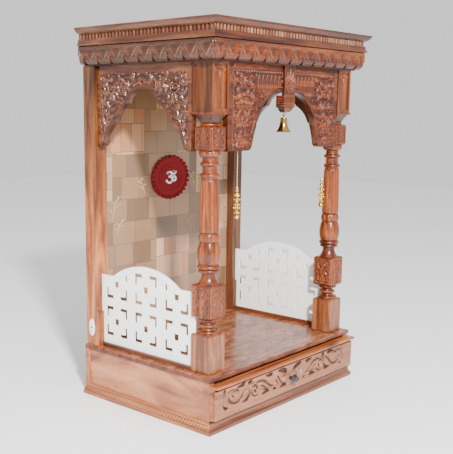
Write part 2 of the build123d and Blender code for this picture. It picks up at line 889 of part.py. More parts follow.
dentil_reach = dentil_back_inset - dentil_front_inset
dentil_middle_inset = (dentil_back_inset + dentil_front_inset) / 2
dentil_line_half = cornice_width / 2 - dentil_front_inset - dentil_width / 2
dentils_front = int(dentil_line_half / dentil_pitch)
dentils_side = int((cornice_depth - dentil_front_inset - dentil_width) / dentil_pitch)
with BuildPart() as dentils:
    with BuildSketch(Plane.XY.offset(dentil_bottom)):
        for k in range(-dentils_front, dentils_front):
            with Locations(((k + 0.5) * dentil_pitch, crown_front_y + dentil_middle_inset)):
                Trapezoid(dentil_width, dentil_reach, 65, rotation=180)
        for side in (-1, 1):
            for k in range(dentils_side):
                along = crown_front_y + dentil_front_inset + (k + 1) * dentil_pitch
                with Locations((side * (cornice_width / 2 - dentil_middle_inset), along)):
                    Trapezoid(dentil_width, dentil_reach, 65, rotation=-90 * side)
    extrude(amount=dentil_top - dentil_bottom)
pieces["dentils"] = dentils

# Bell: an eye in the pendant, a ring on the bell linked through it, and a clapper

eye_z = pendant_tip - eye_shank - ring_radius
bell_pivot_z = eye_z - ring_radius + 2 * ring_wire + ring_gap
bell_ring_z = bell_pivot_z - ring_radius
bell_top_z = bell_ring_z - ring_radius
bell_mouth_z = bell_top_z - bell_height
with BuildPart() as bell_eye:
    with BuildSketch(Plane.XY.offset(pendant_tip)):
        with Locations((0, front_board_middle_y)):
            Circle(ring_wire)
    extrude(amount=-eye_shank - ring_wire / 2)
    with Locations(Location((0, front_board_middle_y, eye_z), (0, 90, 0))):
        Torus(ring_radius, ring_wire)
pieces["bell_eye"] = bell_eye

with BuildPart() as bell:
    with BuildSketch(facing_front(0, front_board_middle_y, bell_mouth_z)):
        with BuildLine():
            shoulder = bell_height * 0.9
            waist = bell_height * 0.5
            flare = 3.0
            Line((0, bell_height), (bell_crown_radius, bell_height))
            ThreePointArc(
                (bell_crown_radius, bell_height),
                (bell_crown_radius + 1.6, bell_height * 0.96),
                (bell_crown_radius + 2, shoulder),
            )
            ThreePointArc(
                (bell_crown_radius + 2, shoulder),
                (bell_waist_radius, waist),
                (bell_mouth_radius - 1, flare),
            )
            Polyline(
                (bell_mouth_radius - 1, flare),
                (bell_mouth_radius, flare - 1),
                (bell_mouth_radius, 0),
                (bell_mouth_radius - bell_wall, 0),
                (bell_mouth_radius - 1 - bell_wall, flare),
            )
            ThreePointArc(
                (bell_mouth_radius - 1 - bell_wall, flare),
                (bell_waist_radius - bell_wall, waist),
                (bell_crown_radius + 2 - bell_wall, shoulder),
            )
            Polyline(
                (bell_crown_radius + 2 - bell_wall, shoulder),
                (bell_crown_radius - bell_wall, bell_height - 2 * bell_wall),
                (0, bell_height - 2 * bell_wall),
                (0, bell_height),
            )
        make_face()
    revolve(axis=Axis((0, front_board_middle_y, 0), (0, 0, 1)))
    with Locations(Location((0, front_board_middle_y, bell_ring_z), (90, 0, 0))):
        Torus(ring_radius, ring_wire)
pieces["bell"] = bell

clapper_top = bell_top_z - 2 * bell_wall
clapper_z = bell_mouth_z + clapper_rise
with BuildPart() as bell_clapper:
    with BuildSketch(Plane.XY.offset(clapper_z)):
        with Locations((0, front_board_middle_y)):
            Circle(ring_wire)
    extrude(amount=clapper_top - clapper_z)
    with Locations((0, front_board_middle_y, clapper_z)):
        Sphere(clapper_ball)
pieces["bell_clapper"] = bell_clapper

# Bead tassels under the feet of the front arch: a thread each, and a string of turned beads

bead_top_z = arch_foot_bottom - tassel_thread_length
bead_bottom_z = bead_top_z - tassel_length
bead_height = tassel_length / bead_count
with BuildPart() as tassel_thread:
    with BuildSketch(Plane.XY.offset(bead_top_z)):
        with Locations((-tassel_half_span, front_board_middle_y)):
            Circle(tassel_thread_radius)
    extrude(amount=tassel_thread_length)
with BuildPart() as tassel_beads:
    with BuildSketch(facing_front(-tassel_half_span, front_board_middle_y, bead_bottom_z)):
        with BuildLine():
            neck = tassel_bead_radius * 0.35
            Line((0, 0), (neck, 0))
            for k in range(bead_count):
                swell = tassel_bead_radius if k % 2 == 0 else tassel_bead_radius * 0.7
                bead_foot = k * bead_height
                ThreePointArc(
                    (neck, bead_foot),
                    (swell, bead_foot + bead_height / 2),
                    (neck, bead_foot + bead_height),
                )
            Line((neck, tassel_length), (0, tassel_length))
            Line((0, tassel_length), (0, 0))
        make_face()
    revolve(axis=Axis((-tassel_half_span, front_board_middle_y, 0), (0, 0, 1)))
pieces["left_tassel_thread"] = tassel_thread
pieces["right_tassel_thread"] = mirrored(tassel_thread)
pieces["left_tassel_beads"] = tassel_beads
pieces["right_tassel_beads"] = mirrored(tassel_beads)

# Scalloped plaque on the back panel, and the oval cover on the left rear post

with BuildPart() as plaque:
    with BuildSketch(facing_front(0, back_panel_front_y, plaque_centre_z)):
        scallop = plaque_width * 1.45 / plaque_scallops
        field_half_width = (plaque_width - scallop) / 2
        field_half_height = (plaque_height - scallop) / 2
        Ellipse(field_half_width, field_half_height)
        with BuildLine(mode=Mode.PRIVATE) as rim_line:
            EllipticalCenterArc((0, 0), field_half_width, field_half_height)
        rim_points = [rim_line.wire() @ (k / plaque_scallops) for k in range(plaque_scallops)]
        with Locations(*[(p.X, p.Y) for p in rim_points]):
            Circle(scallop / 2)
    extrude(amount=plaque_thick)
pieces["plaque"] = plaque

with BuildPart() as oval_cover:
    with BuildSketch(facing_left(-post_outer, (post_front_y + back_y) / 2, cover_centre_z)):
        Ellipse(cover_width / 2, cover_height / 2)
    extrude(amount=cover_thick)
    fillet(oval_cover.edges().group_by(Axis.X)[0], radius=cover_thick * 0.6)
pieces["oval_cover"] = oval_cover

os.makedirs("parts", exist_ok=True)
for label, piece in pieces.items():
    piece.part.label = label
    export_step(piece.part, f"parts/{label}.step")
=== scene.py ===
"""Pooja mandir: the dressed wooden household temple, in metres, front towards -Y, Z up."""

import json
import math

import bmesh
import bpy
import numpy as np
from mathutils import Matrix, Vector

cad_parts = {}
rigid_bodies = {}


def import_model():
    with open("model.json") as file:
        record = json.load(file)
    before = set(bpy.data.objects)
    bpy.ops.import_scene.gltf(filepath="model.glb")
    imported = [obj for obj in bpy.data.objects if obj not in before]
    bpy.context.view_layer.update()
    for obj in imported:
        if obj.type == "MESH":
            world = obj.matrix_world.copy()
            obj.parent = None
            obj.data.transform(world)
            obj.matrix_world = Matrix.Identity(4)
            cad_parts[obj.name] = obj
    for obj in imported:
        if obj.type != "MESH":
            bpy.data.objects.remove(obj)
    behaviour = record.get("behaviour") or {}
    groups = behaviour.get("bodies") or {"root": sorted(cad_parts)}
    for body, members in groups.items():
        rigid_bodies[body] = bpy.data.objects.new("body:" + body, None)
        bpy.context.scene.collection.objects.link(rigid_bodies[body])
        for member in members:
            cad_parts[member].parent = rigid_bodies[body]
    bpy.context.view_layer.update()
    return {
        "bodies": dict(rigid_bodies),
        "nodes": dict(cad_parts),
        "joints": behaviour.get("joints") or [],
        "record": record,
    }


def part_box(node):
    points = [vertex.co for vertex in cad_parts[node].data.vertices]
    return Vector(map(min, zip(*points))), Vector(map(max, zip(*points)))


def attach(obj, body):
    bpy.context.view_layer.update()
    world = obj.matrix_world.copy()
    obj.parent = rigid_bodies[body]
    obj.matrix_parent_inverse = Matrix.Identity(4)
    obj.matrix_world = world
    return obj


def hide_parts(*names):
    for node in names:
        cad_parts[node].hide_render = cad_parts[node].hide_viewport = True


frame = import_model()

# Base: a box with polished pale veneer sides on a flared skirting, and a platform board that
# overhangs it. The solid wood parts are sheesham, planed, stained and hand polished, so the grain
# shows as dark streaks under a warm gloss.


def linear(code):
    """Linear RGBA of an sRGB hex colour: c/12.92 below 0.04045, else ((c+0.055)/1.055)^2.4."""
    srgb = np.array([int(code[k : k + 2], 16) for k in (1, 3, 5)]) / 255
    rgb = np.where(srgb <= 0.04045, srgb / 12.92, ((srgb + 0.055) / 1.055) ** 2.4)
    return (*rgb.tolist(), 1.0)


def add_node(tree, kind, inputs=None, stops=(), **settings):
    """Add a node with its settings, input values or links, and a ramp's (place, hex) stops."""
    made = tree.nodes.new(kind)
    for name, value in settings.items():
        setattr(made, name, value)
    for name, value in (inputs or {}).items():
        if isinstance(value, bpy.types.NodeSocket):
            tree.links.new(value, made.inputs[name])
        else:
            made.inputs[name].default_value = value
    for k, (place, code) in enumerate(stops):
        ramp = made.color_ramp
        stop = ramp.elements[k] if k < 2 else ramp.elements.new(place)
        stop.position = place
        stop.color = linear(code)
    return made


def new_finish(name, roughness, **sockets):
    """A material with its constants on the shader's own sockets; returns it, tree and shader."""
    material = bpy.data.materials.new(name)
    material.use_nodes = True
    shader = material.node_tree.nodes["Principled BSDF"]
    shader.inputs["Roughness"].default_value = roughness
    for socket, value in sockets.items():
        shader.inputs[socket.replace("_", " ")].default_value = value
    return material, material.node_tree, shader


def sheesham(
    name, along, dark, middle, light, roughness=0.32, figure_mm=26.0, shine=0.2, ringed=0.45,
    cloudy=0.09
):
    """Polished sheesham with its grain along one axis.

    Broad figure is a noise squeezed along the grain to the share cloudy; growth rings of about
    7 mm are a wave warped along it; pores are hair lines of 0.3 mm, drawn 1.2 mm wide so that they
    show. The ground of a carving is darkened by the mesh's own hollow attribute, partly as stain
    and partly as painted shade of its recesses. shine is the polish's thickness, and ringed how
    strongly the growth rings show.
    """
    material, tree, shader = new_finish(
        name, roughness, Coat_Weight=shine, Coat_Roughness=0.14, IOR=1.45
    )
    place = add_node(tree, "ShaderNodeTexCoord").outputs["Object"]
    squeeze = [1.0, 1.0, 1.0]
    squeeze["XYZ".index(along)] = cloudy
    grain = add_node(tree, "ShaderNodeMapping", {"Vector": place, "Scale": squeeze}).outputs[0]
    broad = {"Vector": grain, "Scale": 1000 / figure_mm, "Detail": 5.0, "Distortion": 1.4}
    figure = add_node(tree, "ShaderNodeTexNoise", broad).outputs["Fac"]
    across = {"X": "Z", "Y": "Z", "Z": "X"}[along]
    rings = add_node(
        tree,
        "ShaderNodeTexWave",
        {"Vector": grain, "Scale": 314 / 7.0, "Distortion": 7.0, "Detail": 3.0},
        bands_direction=across,
        wave_profile="SAW",
    ).outputs["Fac"]
    fine = {"Vector": grain, "Scale": 1000 / 1.2, "Detail": 2.0}
    pores = add_node(tree, "ShaderNodeTexNoise", fine).outputs["Fac"]
    stops = ((0.32, dark), (0.68, light), (0.5, middle))
    colour = add_node(tree, "ShaderNodeValToRGB", {"Fac": figure}, stops=stops).outputs["Color"]
    for mask, stops, share in (
        (rings, ((0.0, "#9a9a9a"), (1.0, "#ffffff")), ringed),
        (pores, ((0.36, "#8f8f8f"), (0.52, "#ffffff")), 0.5),
    ):
        shade = add_node(tree, "ShaderNodeValToRGB", {"Fac": mask}, stops=stops).outputs["Color"]
        colour = add_node(
            tree,
            "ShaderNodeMixRGB",
            {"Fac": share, "Color1": colour, "Color2": shade},
            blend_type="MULTIPLY",
        ).outputs["Color"]
    # The hollow attribute darkens the colour towards #2c1006: stain in the carving's ground and
    # painted shade of its recesses.
    hollow = add_node(tree, "ShaderNodeAttribute", attribute_name="hollow").outputs["Fac"]
    stained_and_shaded = {"Fac": hollow, "Color1": colour, "Color2": linear("#2c1006")}
    colour = add_node(tree, "ShaderNodeMixRGB", stained_and_shaded).outputs["Color"]
    tree.links.new(colour, shader.inputs["Base Color"])
    bump = add_node(
        tree, "ShaderNodeBump", {"Height": pores, "Strength": 0.12, "Distance": 0.0006}
    ).outputs["Normal"]
    tree.links.new(bump, shader.inputs["Normal"])
    return material


def toned(finish, source, axis, *stops):
    """Multiply a finish's colour by a ramp over its place in metres or the size of its facing.

    source is Object for the place or Normal for the facing, and axis the one that counts.
    """
    tree = finish.node_tree
    field = add_node(tree, "ShaderNodeTexCoord").outputs[source]
    field = add_node(tree, "ShaderNodeVectorMath", {0: field}, operation="ABSOLUTE").outputs[0]
    field = add_node(tree, "ShaderNodeSeparateXYZ", {0: field}).outputs[axis]
    tone = add_node(tree, "ShaderNodeValToRGB", {"Fac": field}, stops=stops).outputs["Color"]
    skin = tree.nodes["Principled BSDF"].inputs["Base Color"]
    colour = add_node(
        tree,
        "ShaderNodeMixRGB",
        {"Fac": 1.0, "Color1": skin.links[0].from_socket, "Color2": tone},
        blend_type="MULTIPLY",
    ).outputs["Color"]
    tree.links.new(colour, skin)
    return finish


def dress(finish, *nodes):
    """Put one finish on the material slots of CAD nodes."""
    for name in nodes:
        for place in frame["nodes"][name].material_slots:
            place.material = finish


sheesham_across = sheesham("polished_sheesham_across", "X", "#2f0e03", "#4d1f08", "#6a3211")
sheesham_deep = sheesham("polished_sheesham_deep", "Y", "#32160c", "#522915", "#6c3f26")
sheesham_upright = sheesham("polished_sheesham_upright", "Z", "#451a06", "#70330e", "#924f1a")
pale_veneer = sheesham(
    "pale_veneer", "Y", "#74391c", "#c0784e", "#d99267", 0.34, 80.0, ringed=0.16, cloudy=0.3
)
dress(pale_veneer, "base_left_side", "base_right_side")
dress(sheesham("pale_back_veneer", "X", "#894b2a", "#b06c44", "#c98459", 0.4, 60.0), "base_back")
dress(sheesham_across, "base_floor")
dress(sheesham_deep, "drawer_runners")
skirting_wood = sheesham("skirting_wood", "Y", "#7c3d1c", "#a86136", "#c27b4b")
dress(skirting_wood, "skirting_left", "skirting_right")
dress(sheesham("front_skirting_wood", "X", "#512511", "#784226", "#91593a"), "skirting_front")

# Platform board: one planed board of the same wood, laid on the base under a smooth lacquer that
# dimly mirrors what stands on it. Its moulded edges are painted darker than the pinkish tan of its
# top: painted reflection of pale light on the top and painted shade on the edges.

tones = ("#562614", "#8a4f32", "#b27250")
platform_gloss = sheesham(
    "lacquered_platform", "X", *tones, 0.26, shine=0.12, ringed=0.35, cloudy=0.4
)
dress(toned(platform_gloss, "Normal", "Z", (0.4, "#c4a090"), (0.7, "#ffffff")), "platform")

# Drawer: a front board with a moulded lip, carved with a running vine that curls into volutes,
# and a plain sanded box behind it. The knob is faceted dark silver.


def box_mm(node):
    """The low and the high corner of a CAD node's box, in mm."""
    return [np.array(corner) * 1000 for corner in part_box(node)]


def cells(grid):
    """Quads of a grid of vertex numbers, one for each cell."""
    return np.stack([grid[:-1, :-1], grid[1:, :-1], grid[1:, 1:], grid[:-1, 1:]], -1).reshape(-1, 4)


def slab(front, back):
    """Points and faces of a closed slab: a front grid, walls round its rim and one flat back."""
    rows, columns = front.shape[:2]
    first = np.arange(rows * columns).reshape(rows, columns)
    rim = np.concatenate([first[0, :-1], first[:-1, -1], first[-1, :0:-1], first[:0:-1, 0]])
    far = np.arange(len(rim)) + rows * columns
    walls = np.stack([rim, np.roll(rim, -1), np.roll(far, -1), far], -1)
    points = np.concatenate([front.reshape(-1, 3), back.reshape(-1, 3)[rim]])
    return points, [cells(first), walls, far[None, ::-1]]


def make_piece(name, shells, finish, body="cabinet"):
    """One object from closed shells of (points in mm, blocks of faces, darkness of the stain and
    painted shade).

    The shade is given for a shell's first points and is none on the rest. Normals face outward.
    """
    starts = np.cumsum([0] + [len(shell[0]) for shell in shells])
    points = np.concatenate([shell[0] for shell in shells]) / 1000
    faces = [
        face
        for shell, start in zip(shells, starts)
        for block in shell[1]
        for face in (block + start).tolist()
    ]
    mesh = bpy.data.meshes.new(name)
    mesh.from_pydata(points.tolist(), [], faces)
    shade = [np.pad(np.ravel(shell[2]), (0, len(shell[0]) - np.size(shell[2]))) for shell in shells]
    mesh.attributes.new("hollow", "FLOAT", "POINT").data.foreach_set(
        "value", np.concatenate(shade)
    )
    loose = bmesh.new()
    loose.from_mesh(mesh)
    bmesh.ops.recalc_face_normals(loose, faces=loose.faces)
    loose.to_mesh(mesh)
    loose.free()
    mesh.shade_smooth()
    mesh.materials.append(finish)
    made = bpy.data.objects.new(name, mesh)
    bpy.context.scene.collection.objects.link(made)
    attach(made, body)
    return made


def leaf(along, up, root, angle, length, width, rise):
    """Height of a pointed leaf: a dome across it, a sunk midrib and slanting side veins."""
    out = ((along - root[0]) * math.cos(angle) + (up - root[1]) * math.sin(angle)) / length
    side = (up - root[1]) * math.cos(angle) - (along - root[0]) * math.sin(angle)
    reach = np.clip(out, 0, 1)
    half = width / 2 * np.sin(np.pi * reach**0.75) ** 0.8 + 1e-3
    share = np.abs(side) / half
    dome = np.sqrt(np.clip(1 - share**2, 0, None))
    rib = 1 - 0.5 * np.exp(-((side / (width * 0.09)) ** 2))
    veins = 1 - 0.14 * np.cos(2 * np.pi * (out * 5 - share * 1.2))
    return np.where((out > 0) & (out < 1) & (share < 1), rise * dome * rib * veins, 0)


def vine(along, up, path, width, rise):
    """Height of a round stem along a path, thinning to under half its width at the far end."""
    height = np.zeros_like(along)
    for share, (a, b) in zip(np.linspace(1, 0.42, len(path)), path):
        gap = ((along - a) ** 2 + (up - b) ** 2) / (width * share / 2) ** 2
        height = np.maximum(height, rise * np.sqrt(np.clip(1 - gap, 0, None)))
    return height


def curl(centre, radius, start, turns, points=90):
    """Path of a volute: a circle's radius falls evenly to a fifth while its angle turns."""
    share = np.linspace(0, 1, points)
    angle = start + 2 * math.pi * turns * share
    reach = radius * (1 - 0.8 * share)
    return np.stack([centre[0] + reach * np.cos(angle), centre[1] + reach * np.sin(angle)], -1)


def sunk(height, deep, shade):
    """How dark the stain and painted shade are: full in the ground of the carving, none on its high
    places.
    """
    return np.clip(1 - height / deep, 0, 1) ** 1.5 * shade


def flowing(knots, steps=16):
    """A smooth line through a drawing's knots, each span the usual cubic with even tension."""
    knots = np.array(knots, float)
    ends = 2 * knots[[0, -1]] - knots[[1, -2]]
    row = np.concatenate([ends[:1], knots, ends[1:]])
    share = np.linspace(0, 1, steps, endpoint=False)[:, None, None]
    a, b, c, d = row[:-3], row[1:-2], row[2:-1], row[3:]
    line = (
        2 * b
        + (c - a) * share
        + (2 * a - 5 * b + 4 * c - d) * share**2
        + (3 * b - a - 3 * c + d) * share**3
    ) / 2
    return np.concatenate([line.transpose(1, 0, 2).reshape(-1, knots.shape[1]), knots[-1:]])


def mottled(name, roughness, patch_mm, first, second, detail=3.0, **sockets):
    """A finish whose colour drifts in patches between two (place, hex) stops of a noise."""
    material, tree, shader = new_finish(name, roughness, **sockets)
    place = add_node(tree, "ShaderNodeTexCoord").outputs["Object"]
    patches = add_node(
        tree, "ShaderNodeTexNoise", {"Vector": place, "Scale": 1000 / patch_mm, "Detail": detail}
    ).outputs["Fac"]
    colour = add_node(tree, "ShaderNodeValToRGB", {"Fac": patches}, stops=(first, second))
    tree.links.new(colour.outputs["Color"], shader.inputs["Base Color"])
    return material


def gouged(along, up, lines):
    """Share of full depth of gouge cuts, each through knots of (place along, level, half width).

    A cut is 1 along its middle and falls to 0 at its edges, as 1.6 * (1 - (gap / half)^2)^0.6.
    """
    depth = np.zeros_like(along)
    for knots in lines:
        for a, b, half in flowing(knots, 8):
            gap = ((along - a) ** 2 + (up - b) ** 2) / half**2
            depth = np.maximum(depth, np.minimum(1.6 * np.clip(1 - gap, 0, None) ** 0.6, 1))
    return depth


front_low, front_high = box_mm("drawer_front")
drawer_lip_reach, drawer_lip_height = 13.0, 13.0
field_rise, right_half_width = 4.8, 0.93
drawer_face_y = front_low[1] + drawer_lip_reach
along, up = np.meshgrid(
    np.linspace(front_low[0] + 2, front_high[0] - 2, 700),
    np.linspace(front_low[2] + 1.5, front_high[2] - drawer_lip_height - 0.2, 100),
)
away = np.where(along < 0, -along, along / right_half_width)
pockets = gouged(
    away,
    up,
    [
        [(262, 97, 2), (257, 95, 5), (258, 86, 3), (262, 72, 2), (262, 61, 2)]
        + [(254, 54, 4), (243, 53, 1)],
        [(214, 94, 1), (205, 95, 3), (193, 96, 5), (185, 96, 5), (180, 97, 1)],
        [(171, 97, 2), (165, 95, 5), (158, 96, 4), (151, 98, 1)],
        [(194, 54, 1), (182, 55, 3.6), (170, 58, 6.5), (164, 65, 4)],
        [(104, 97, 1), (92, 95, 4), (80, 94, 5.5), (72, 95, 2)],
        [(119, 54, 1), (108, 55, 4), (98, 57, 5), (86, 54, 1)],
        [(73, 56, 1), (66, 55, 3.6), (57, 53, 1)],
        [(53, 97, 1), (42, 95, 5), (30, 93, 6), (20, 89, 6), (15, 83, 4)],
        [(45, 53, 1), (34, 55, 4), (24, 56, 4.5), (15, 52, 1)],
    ],
)
grooves = gouged(
    away,
    up,
    [
        [(243, 78, 2), (241, 70, 4.5), (231, 62, 3), (218, 59, 2.8)]
        + [(204, 62, 3.2), (191, 73, 4.4)],
        [(191, 73, 4.4), (183, 79, 2.8), (171, 87, 1.8)],
        [(253, 68, 1.3), (250, 84, 1.8), (240, 92, 1.8), (224, 94, 1.3)],
        [(164, 66, 3), (165, 78, 2.6), (158, 88, 2.2), (147, 92, 1)],
        [(206, 79, 1.6), (209, 87, 2.2), (218, 90, 2.4), (228, 87, 2.2)]
        + [(230, 79, 2), (224, 74, 1.6)],
        [(142, 84, 2), (133, 89, 3), (119, 88, 3.4), (104, 82, 3.4)]
        + [(92, 73, 3), (80, 66, 2.4), (70, 64, 1)],
        [(152, 60, 2), (158, 70, 2.4), (154, 80, 2.8), (144, 83, 3.4)]
        + [(136, 75, 4), (142, 67, 3.2), (148, 73, 2)],
        [(152, 60, 1.6), (143, 56, 2), (132, 58, 2.2), (123, 65, 1.4)],
        [(123, 77, 1.2), (112, 73, 2.2), (100, 64, 2.2), (90, 61, 1)],
        [(113, 66, 1.2), (104, 62, 1.8), (96, 60, 1)],
        [(55, 84, 1.6), (50, 78, 3.2), (44, 70, 2.8), (36, 62, 2), (28, 57, 1)],
        [(63, 76, 1.2), (56, 70, 1.8), (50, 62, 1.2)],
        [(32, 85, 1.4), (26, 76, 2.6), (30, 66, 1.6)],
    ],
)
incised = np.maximum(pockets, 0.7 * grooves)
swell = 0.6 * np.cos((away - 128) * math.pi / 46) * np.cos((up - 74) * math.pi / 62)
height = field_rise + np.where((away < 262) & (np.abs(up - 74) < 26), swell, 0) - 4.6 * incised
carved_front = np.stack([along, drawer_face_y - 0.2 - np.maximum(height, 0.2), up], -1)
carved_back = np.stack([along, np.full_like(along, drawer_face_y + 2), up], -1)
# The pockets and grooves are darkened as stain and painted shade of their depth.
make_piece(
    "drawer_carving",
    [(*slab(carved_front, carved_back), np.maximum(pockets, 0.9 * grooves**1.2))],
    sheesham("carved_drawer_wood", "X", "#874e32", "#a26545", "#b47653", 0.4, shine=0.1),
    "drawer",
)
dress(sheesham("drawer_lip_wood", "X", "#6f3217", "#a4592f", "#c6743f", 0.2), "drawer_front")
sanded_board = sheesham("sanded_board", "Y", "#8d5f3d", "#a5764f", "#b98a61", 0.55, shine=0.0)
dress(sanded_board, "drawer_left_side", "drawer_right_side", "drawer_back", "drawer_bottom")
dark_silver = mottled(
    "dark_polished_silver", 0.22, 0.093, (0.35, "#1d1c22"), (0.65, "#6c6a72"), Metallic=1.0
)
dress(dark_silver, "drawer_knob")

# Skirting beads: a run of slanting beads along the hollow of each side skirting. They are cut with
# a gouge from the skirting's own wood, and darkened where they meet it as stain and painted shade.


def mirrored(shells):
    """The same shells on the other side of the middle plane, x = 0."""
    return [(points * (-1, 1, 1), faces, shade) for points, faces, shade in shells]


beads_low, beads_high = box_mm("skirting_left")
along, up = np.meshgrid(
    np.linspace(beads_low[1] + 12, beads_high[1] - 4, 640), np.linspace(9.5, 21, 18)
)
hollow_in = np.interp(up, (8, 10.5, 13.8, 18, 21.7), (0, 2.6, 4.7, 6.0, 6.5))
slant = (along + 0.45 * (up - 15) - 3) % 9.4 - 4.7
bead = 3.3 * np.sqrt(np.clip(1 - (slant / 3.9) ** 2 - ((up - 15.2) / 5.2) ** 2, 0, None))
side_x = beads_low[0]
front = np.stack([side_x + hollow_in - 0.15 - bead, along, up], -1)
back = np.stack([np.full_like(along, side_x + 9), along, up], -1)
shells = [(*slab(front, back), sunk(bead, 1.4, 0.5))]
make_piece("left_skirting_beads", shells, skirting_wood)
make_piece("right_skirting_beads", mirrored(shells), skirting_wood)

# Front columns: each turned and squared from one length of sheesham, with carved faces on two of
# its blocks, flutes on the shaft, lotus petals round the swell and a square flare under the box.

column_wood = sheesham("column_wood", "Z", "#5c3018", "#8a4e2c", "#ac7048")
# Above its base block the column's turned wood is tinted a darker tan; the base block is left
# paler.
toned(column_wood, "Object", "Z", (0.215, "#ffffff"), (0.225, "#cc9850"))
dress(column_wood, "left_column", "right_column")
carved_upright = sheesham(
    "carved_sheesham", "Z", "#5a2a12", "#8a4a28", "#aa663c", 0.3, figure_mm=18.0
)
# The carved wood is tinted by height: warm pale on the lower carved block, yellower on the shaft,
# and darker on the top block and flare as painted shade under the box.
zones = ((0.338, "#f6e6c8"), (0.345, "#f6d17a"), (0.62, "#f6d17a"), (0.64, "#b8966c"))
toned(carved_upright, "Object", "Z", *zones)
column_low, column_high = box_mm("left_column")
column_x, column_y = (column_low[:2] + column_high[:2]) / 2


def carved_square(half, low, high):
    """Four carved panels round a square block, each with two crossing garlands and small leaves.

    The height is the greatest of the garlands, rosettes of six petals, leaves from the
    corners and a raised border; it is the same on each face, turned by quarter turns.
    """
    across, rise = np.meshgrid(np.linspace(-half + 1, half - 1, 56), np.linspace(low, high, 72))
    middle = (low + high) / 2
    relief = np.zeros_like(across)
    swing = half * 0.55 * np.sin((rise - low) / (high - low) * 2 * math.pi)
    for side in (-1, 1):
        gap = np.abs(across - side * swing) / 2.4
        relief = np.maximum(relief, 1.7 * np.sqrt(np.clip(1 - gap**2, 0, None)))
    for z, size in ((middle, 0.62), (low + half * 0.5, 0.46), (high - half * 0.5, 0.46)):
        for k in range(6):
            turn = k * math.pi / 3 + 0.5
            petal = leaf(across, rise, (0.0, z), turn, half * size, half * size * 0.5, 2.6)
            relief = np.maximum(relief, petal)
    for x in (-1, 1):
        for z in np.linspace(low + 8, high - 8, round((high - low) / 15)):
            for turn in (0.5, -0.7):
                petal = leaf(
                    across, rise, (x * (half - 4), z), math.pi * (x > 0) + turn, 12.0, 4.6, 2.4
                )
                relief = np.maximum(relief, petal)
    rim = np.minimum.reduce([half - 1 - np.abs(across), rise - low, high - rise])
    relief = np.maximum(relief, 2.0 * np.sqrt(np.clip(1 - ((rim - 2.0) / 1.7) ** 2, 0, None)))
    relief = np.where(rim < 0.4, 0.2, relief)
    shells = []
    for quarter in range(4):
        turn = quarter * math.pi / 2
        grids = []
        for out in (half + 0.15 + relief, np.full_like(relief, half - 1)):
            x = column_x + across * math.cos(turn) + out * math.sin(turn)
            y = column_y + across * math.sin(turn) - out * math.cos(turn)
            grids.append(np.stack([x, y, rise], -1))
        shells.append((*slab(*grids), sunk(relief, 1.9, 0.42) * np.clip((rim - 1) / 3, 0, 1)))
    return shells


def full_turn(count):
    """Even angles round a full turn."""
    return np.linspace(0, 2 * math.pi, count, endpoint=False)


def wrapped(rings, sides):
    """Vertex numbers of rings of points, the first column standing again after the last."""
    grid = np.arange(rings * sides).reshape(rings, sides)
    return np.concatenate([grid, grid[:, :1]], 1)


def lathe(profile, around, low, high, rings=16, sides=120):
    """Closed sleeve about the column: outside r = profile(z) + around(z, angle), inside 3 mm less.

    profile takes the share of the way up, around takes that share and the angle round the axis.
    """
    share, turn = np.meshgrid(np.linspace(0, 1, rings), full_turn(sides), indexing="ij")
    raised = around(share, turn)
    z = low + (high - low) * share
    loops = []
    for radius in (profile(share) + raised, profile(share) - 3.0):
        loops.append(
            np.stack([column_x + radius * np.cos(turn), column_y + radius * np.sin(turn), z], -1)
        )
    ring = wrapped(rings, sides)
    outer, inner = cells(ring), cells(ring + rings * sides)[:, ::-1]
    ends = [
        np.stack([row[:-1], row[1:], row[1:] + rings * sides, row[:-1] + rings * sides], -1)
        for row in (ring[0], ring[-1])
    ]
    points = np.concatenate([loop.reshape(-1, 3) for loop in loops])
    return points, [outer, inner, *ends], sunk(raised, 1.1, 0.75)


base_block_height, foot_turning_height, carved_block_height = 91.0, 38.0, 76.7
top_block_height, cap_plate_thick, neck_height = 53.0, 4.0, 26.0
base_block_top = column_low[2] + base_block_height
carved_foot = base_block_top + foot_turning_height
shaft_foot = carved_foot + carved_block_height
top_block_foot = column_high[2] - neck_height - cap_plate_thick - top_block_height
flutes = lathe(
    lambda share: 20.6 - 2.3 * share,
    lambda share, turn: 0.2 + 1.7 * np.abs(np.cos(6 * turn)) ** 0.7 * np.sin(np.pi * share) ** 0.2,
    shaft_foot + 117,
    shaft_foot + 237,
    rings=32,
)
collar = lathe(
    lambda share: 21.2 + 0.4 * np.sin(np.pi * share),
    lambda share, turn: 0.4 + 1.9 * np.abs(np.sin(6 * turn + 0.4)) * np.sin(np.pi * share) ** 0.7,
    shaft_foot + 97.5,
    shaft_foot + 115,
)
lotus = lathe(
    lambda share: 21.9 - 1.4 * share + 4.1 * np.sin(np.pi * share) ** 0.9,
    lambda share, turn: 0.3
    + 1.3 * np.sqrt(np.clip(np.abs(np.cos(4 * turn)) - 0.9 * share**2.2, 0, None)),
    shaft_foot + 47,
    shaft_foot + 96,
    rings=40,
)
neck_leaves = lathe(
    lambda share: 21.9 + 1.6 * share + 1.1 * np.sin(np.pi * share),
    lambda share, turn: 0.3 + 1.5 * np.abs(np.cos(5 * turn)) ** 0.8 * np.sin(np.pi * share) ** 0.5,
    top_block_foot - 12.5,
    top_block_foot - 0.5,
)
capital = lathe(
    lambda share: 14.0 + 15.5 * share**1.5,
    lambda share, turn: 1.4
    + (15.4 + 15.5 * share**1.5) * (1 / np.maximum(np.abs(np.cos(turn)), np.abs(np.sin(turn))) - 1),
    top_block_foot + 59.5,
    column_high[2] - 0.3,
)
foot_beads = lathe(
    lambda share: 18.6 + 0 * share,
    lambda share, turn: 0.5 + 2.2 * np.abs(np.cos(9 * turn)) ** 0.7 * np.sin(np.pi * share) ** 0.6,
    base_block_top + 15.5,
    base_block_top + 22.5,
    rings=12,
    sides=144,
)
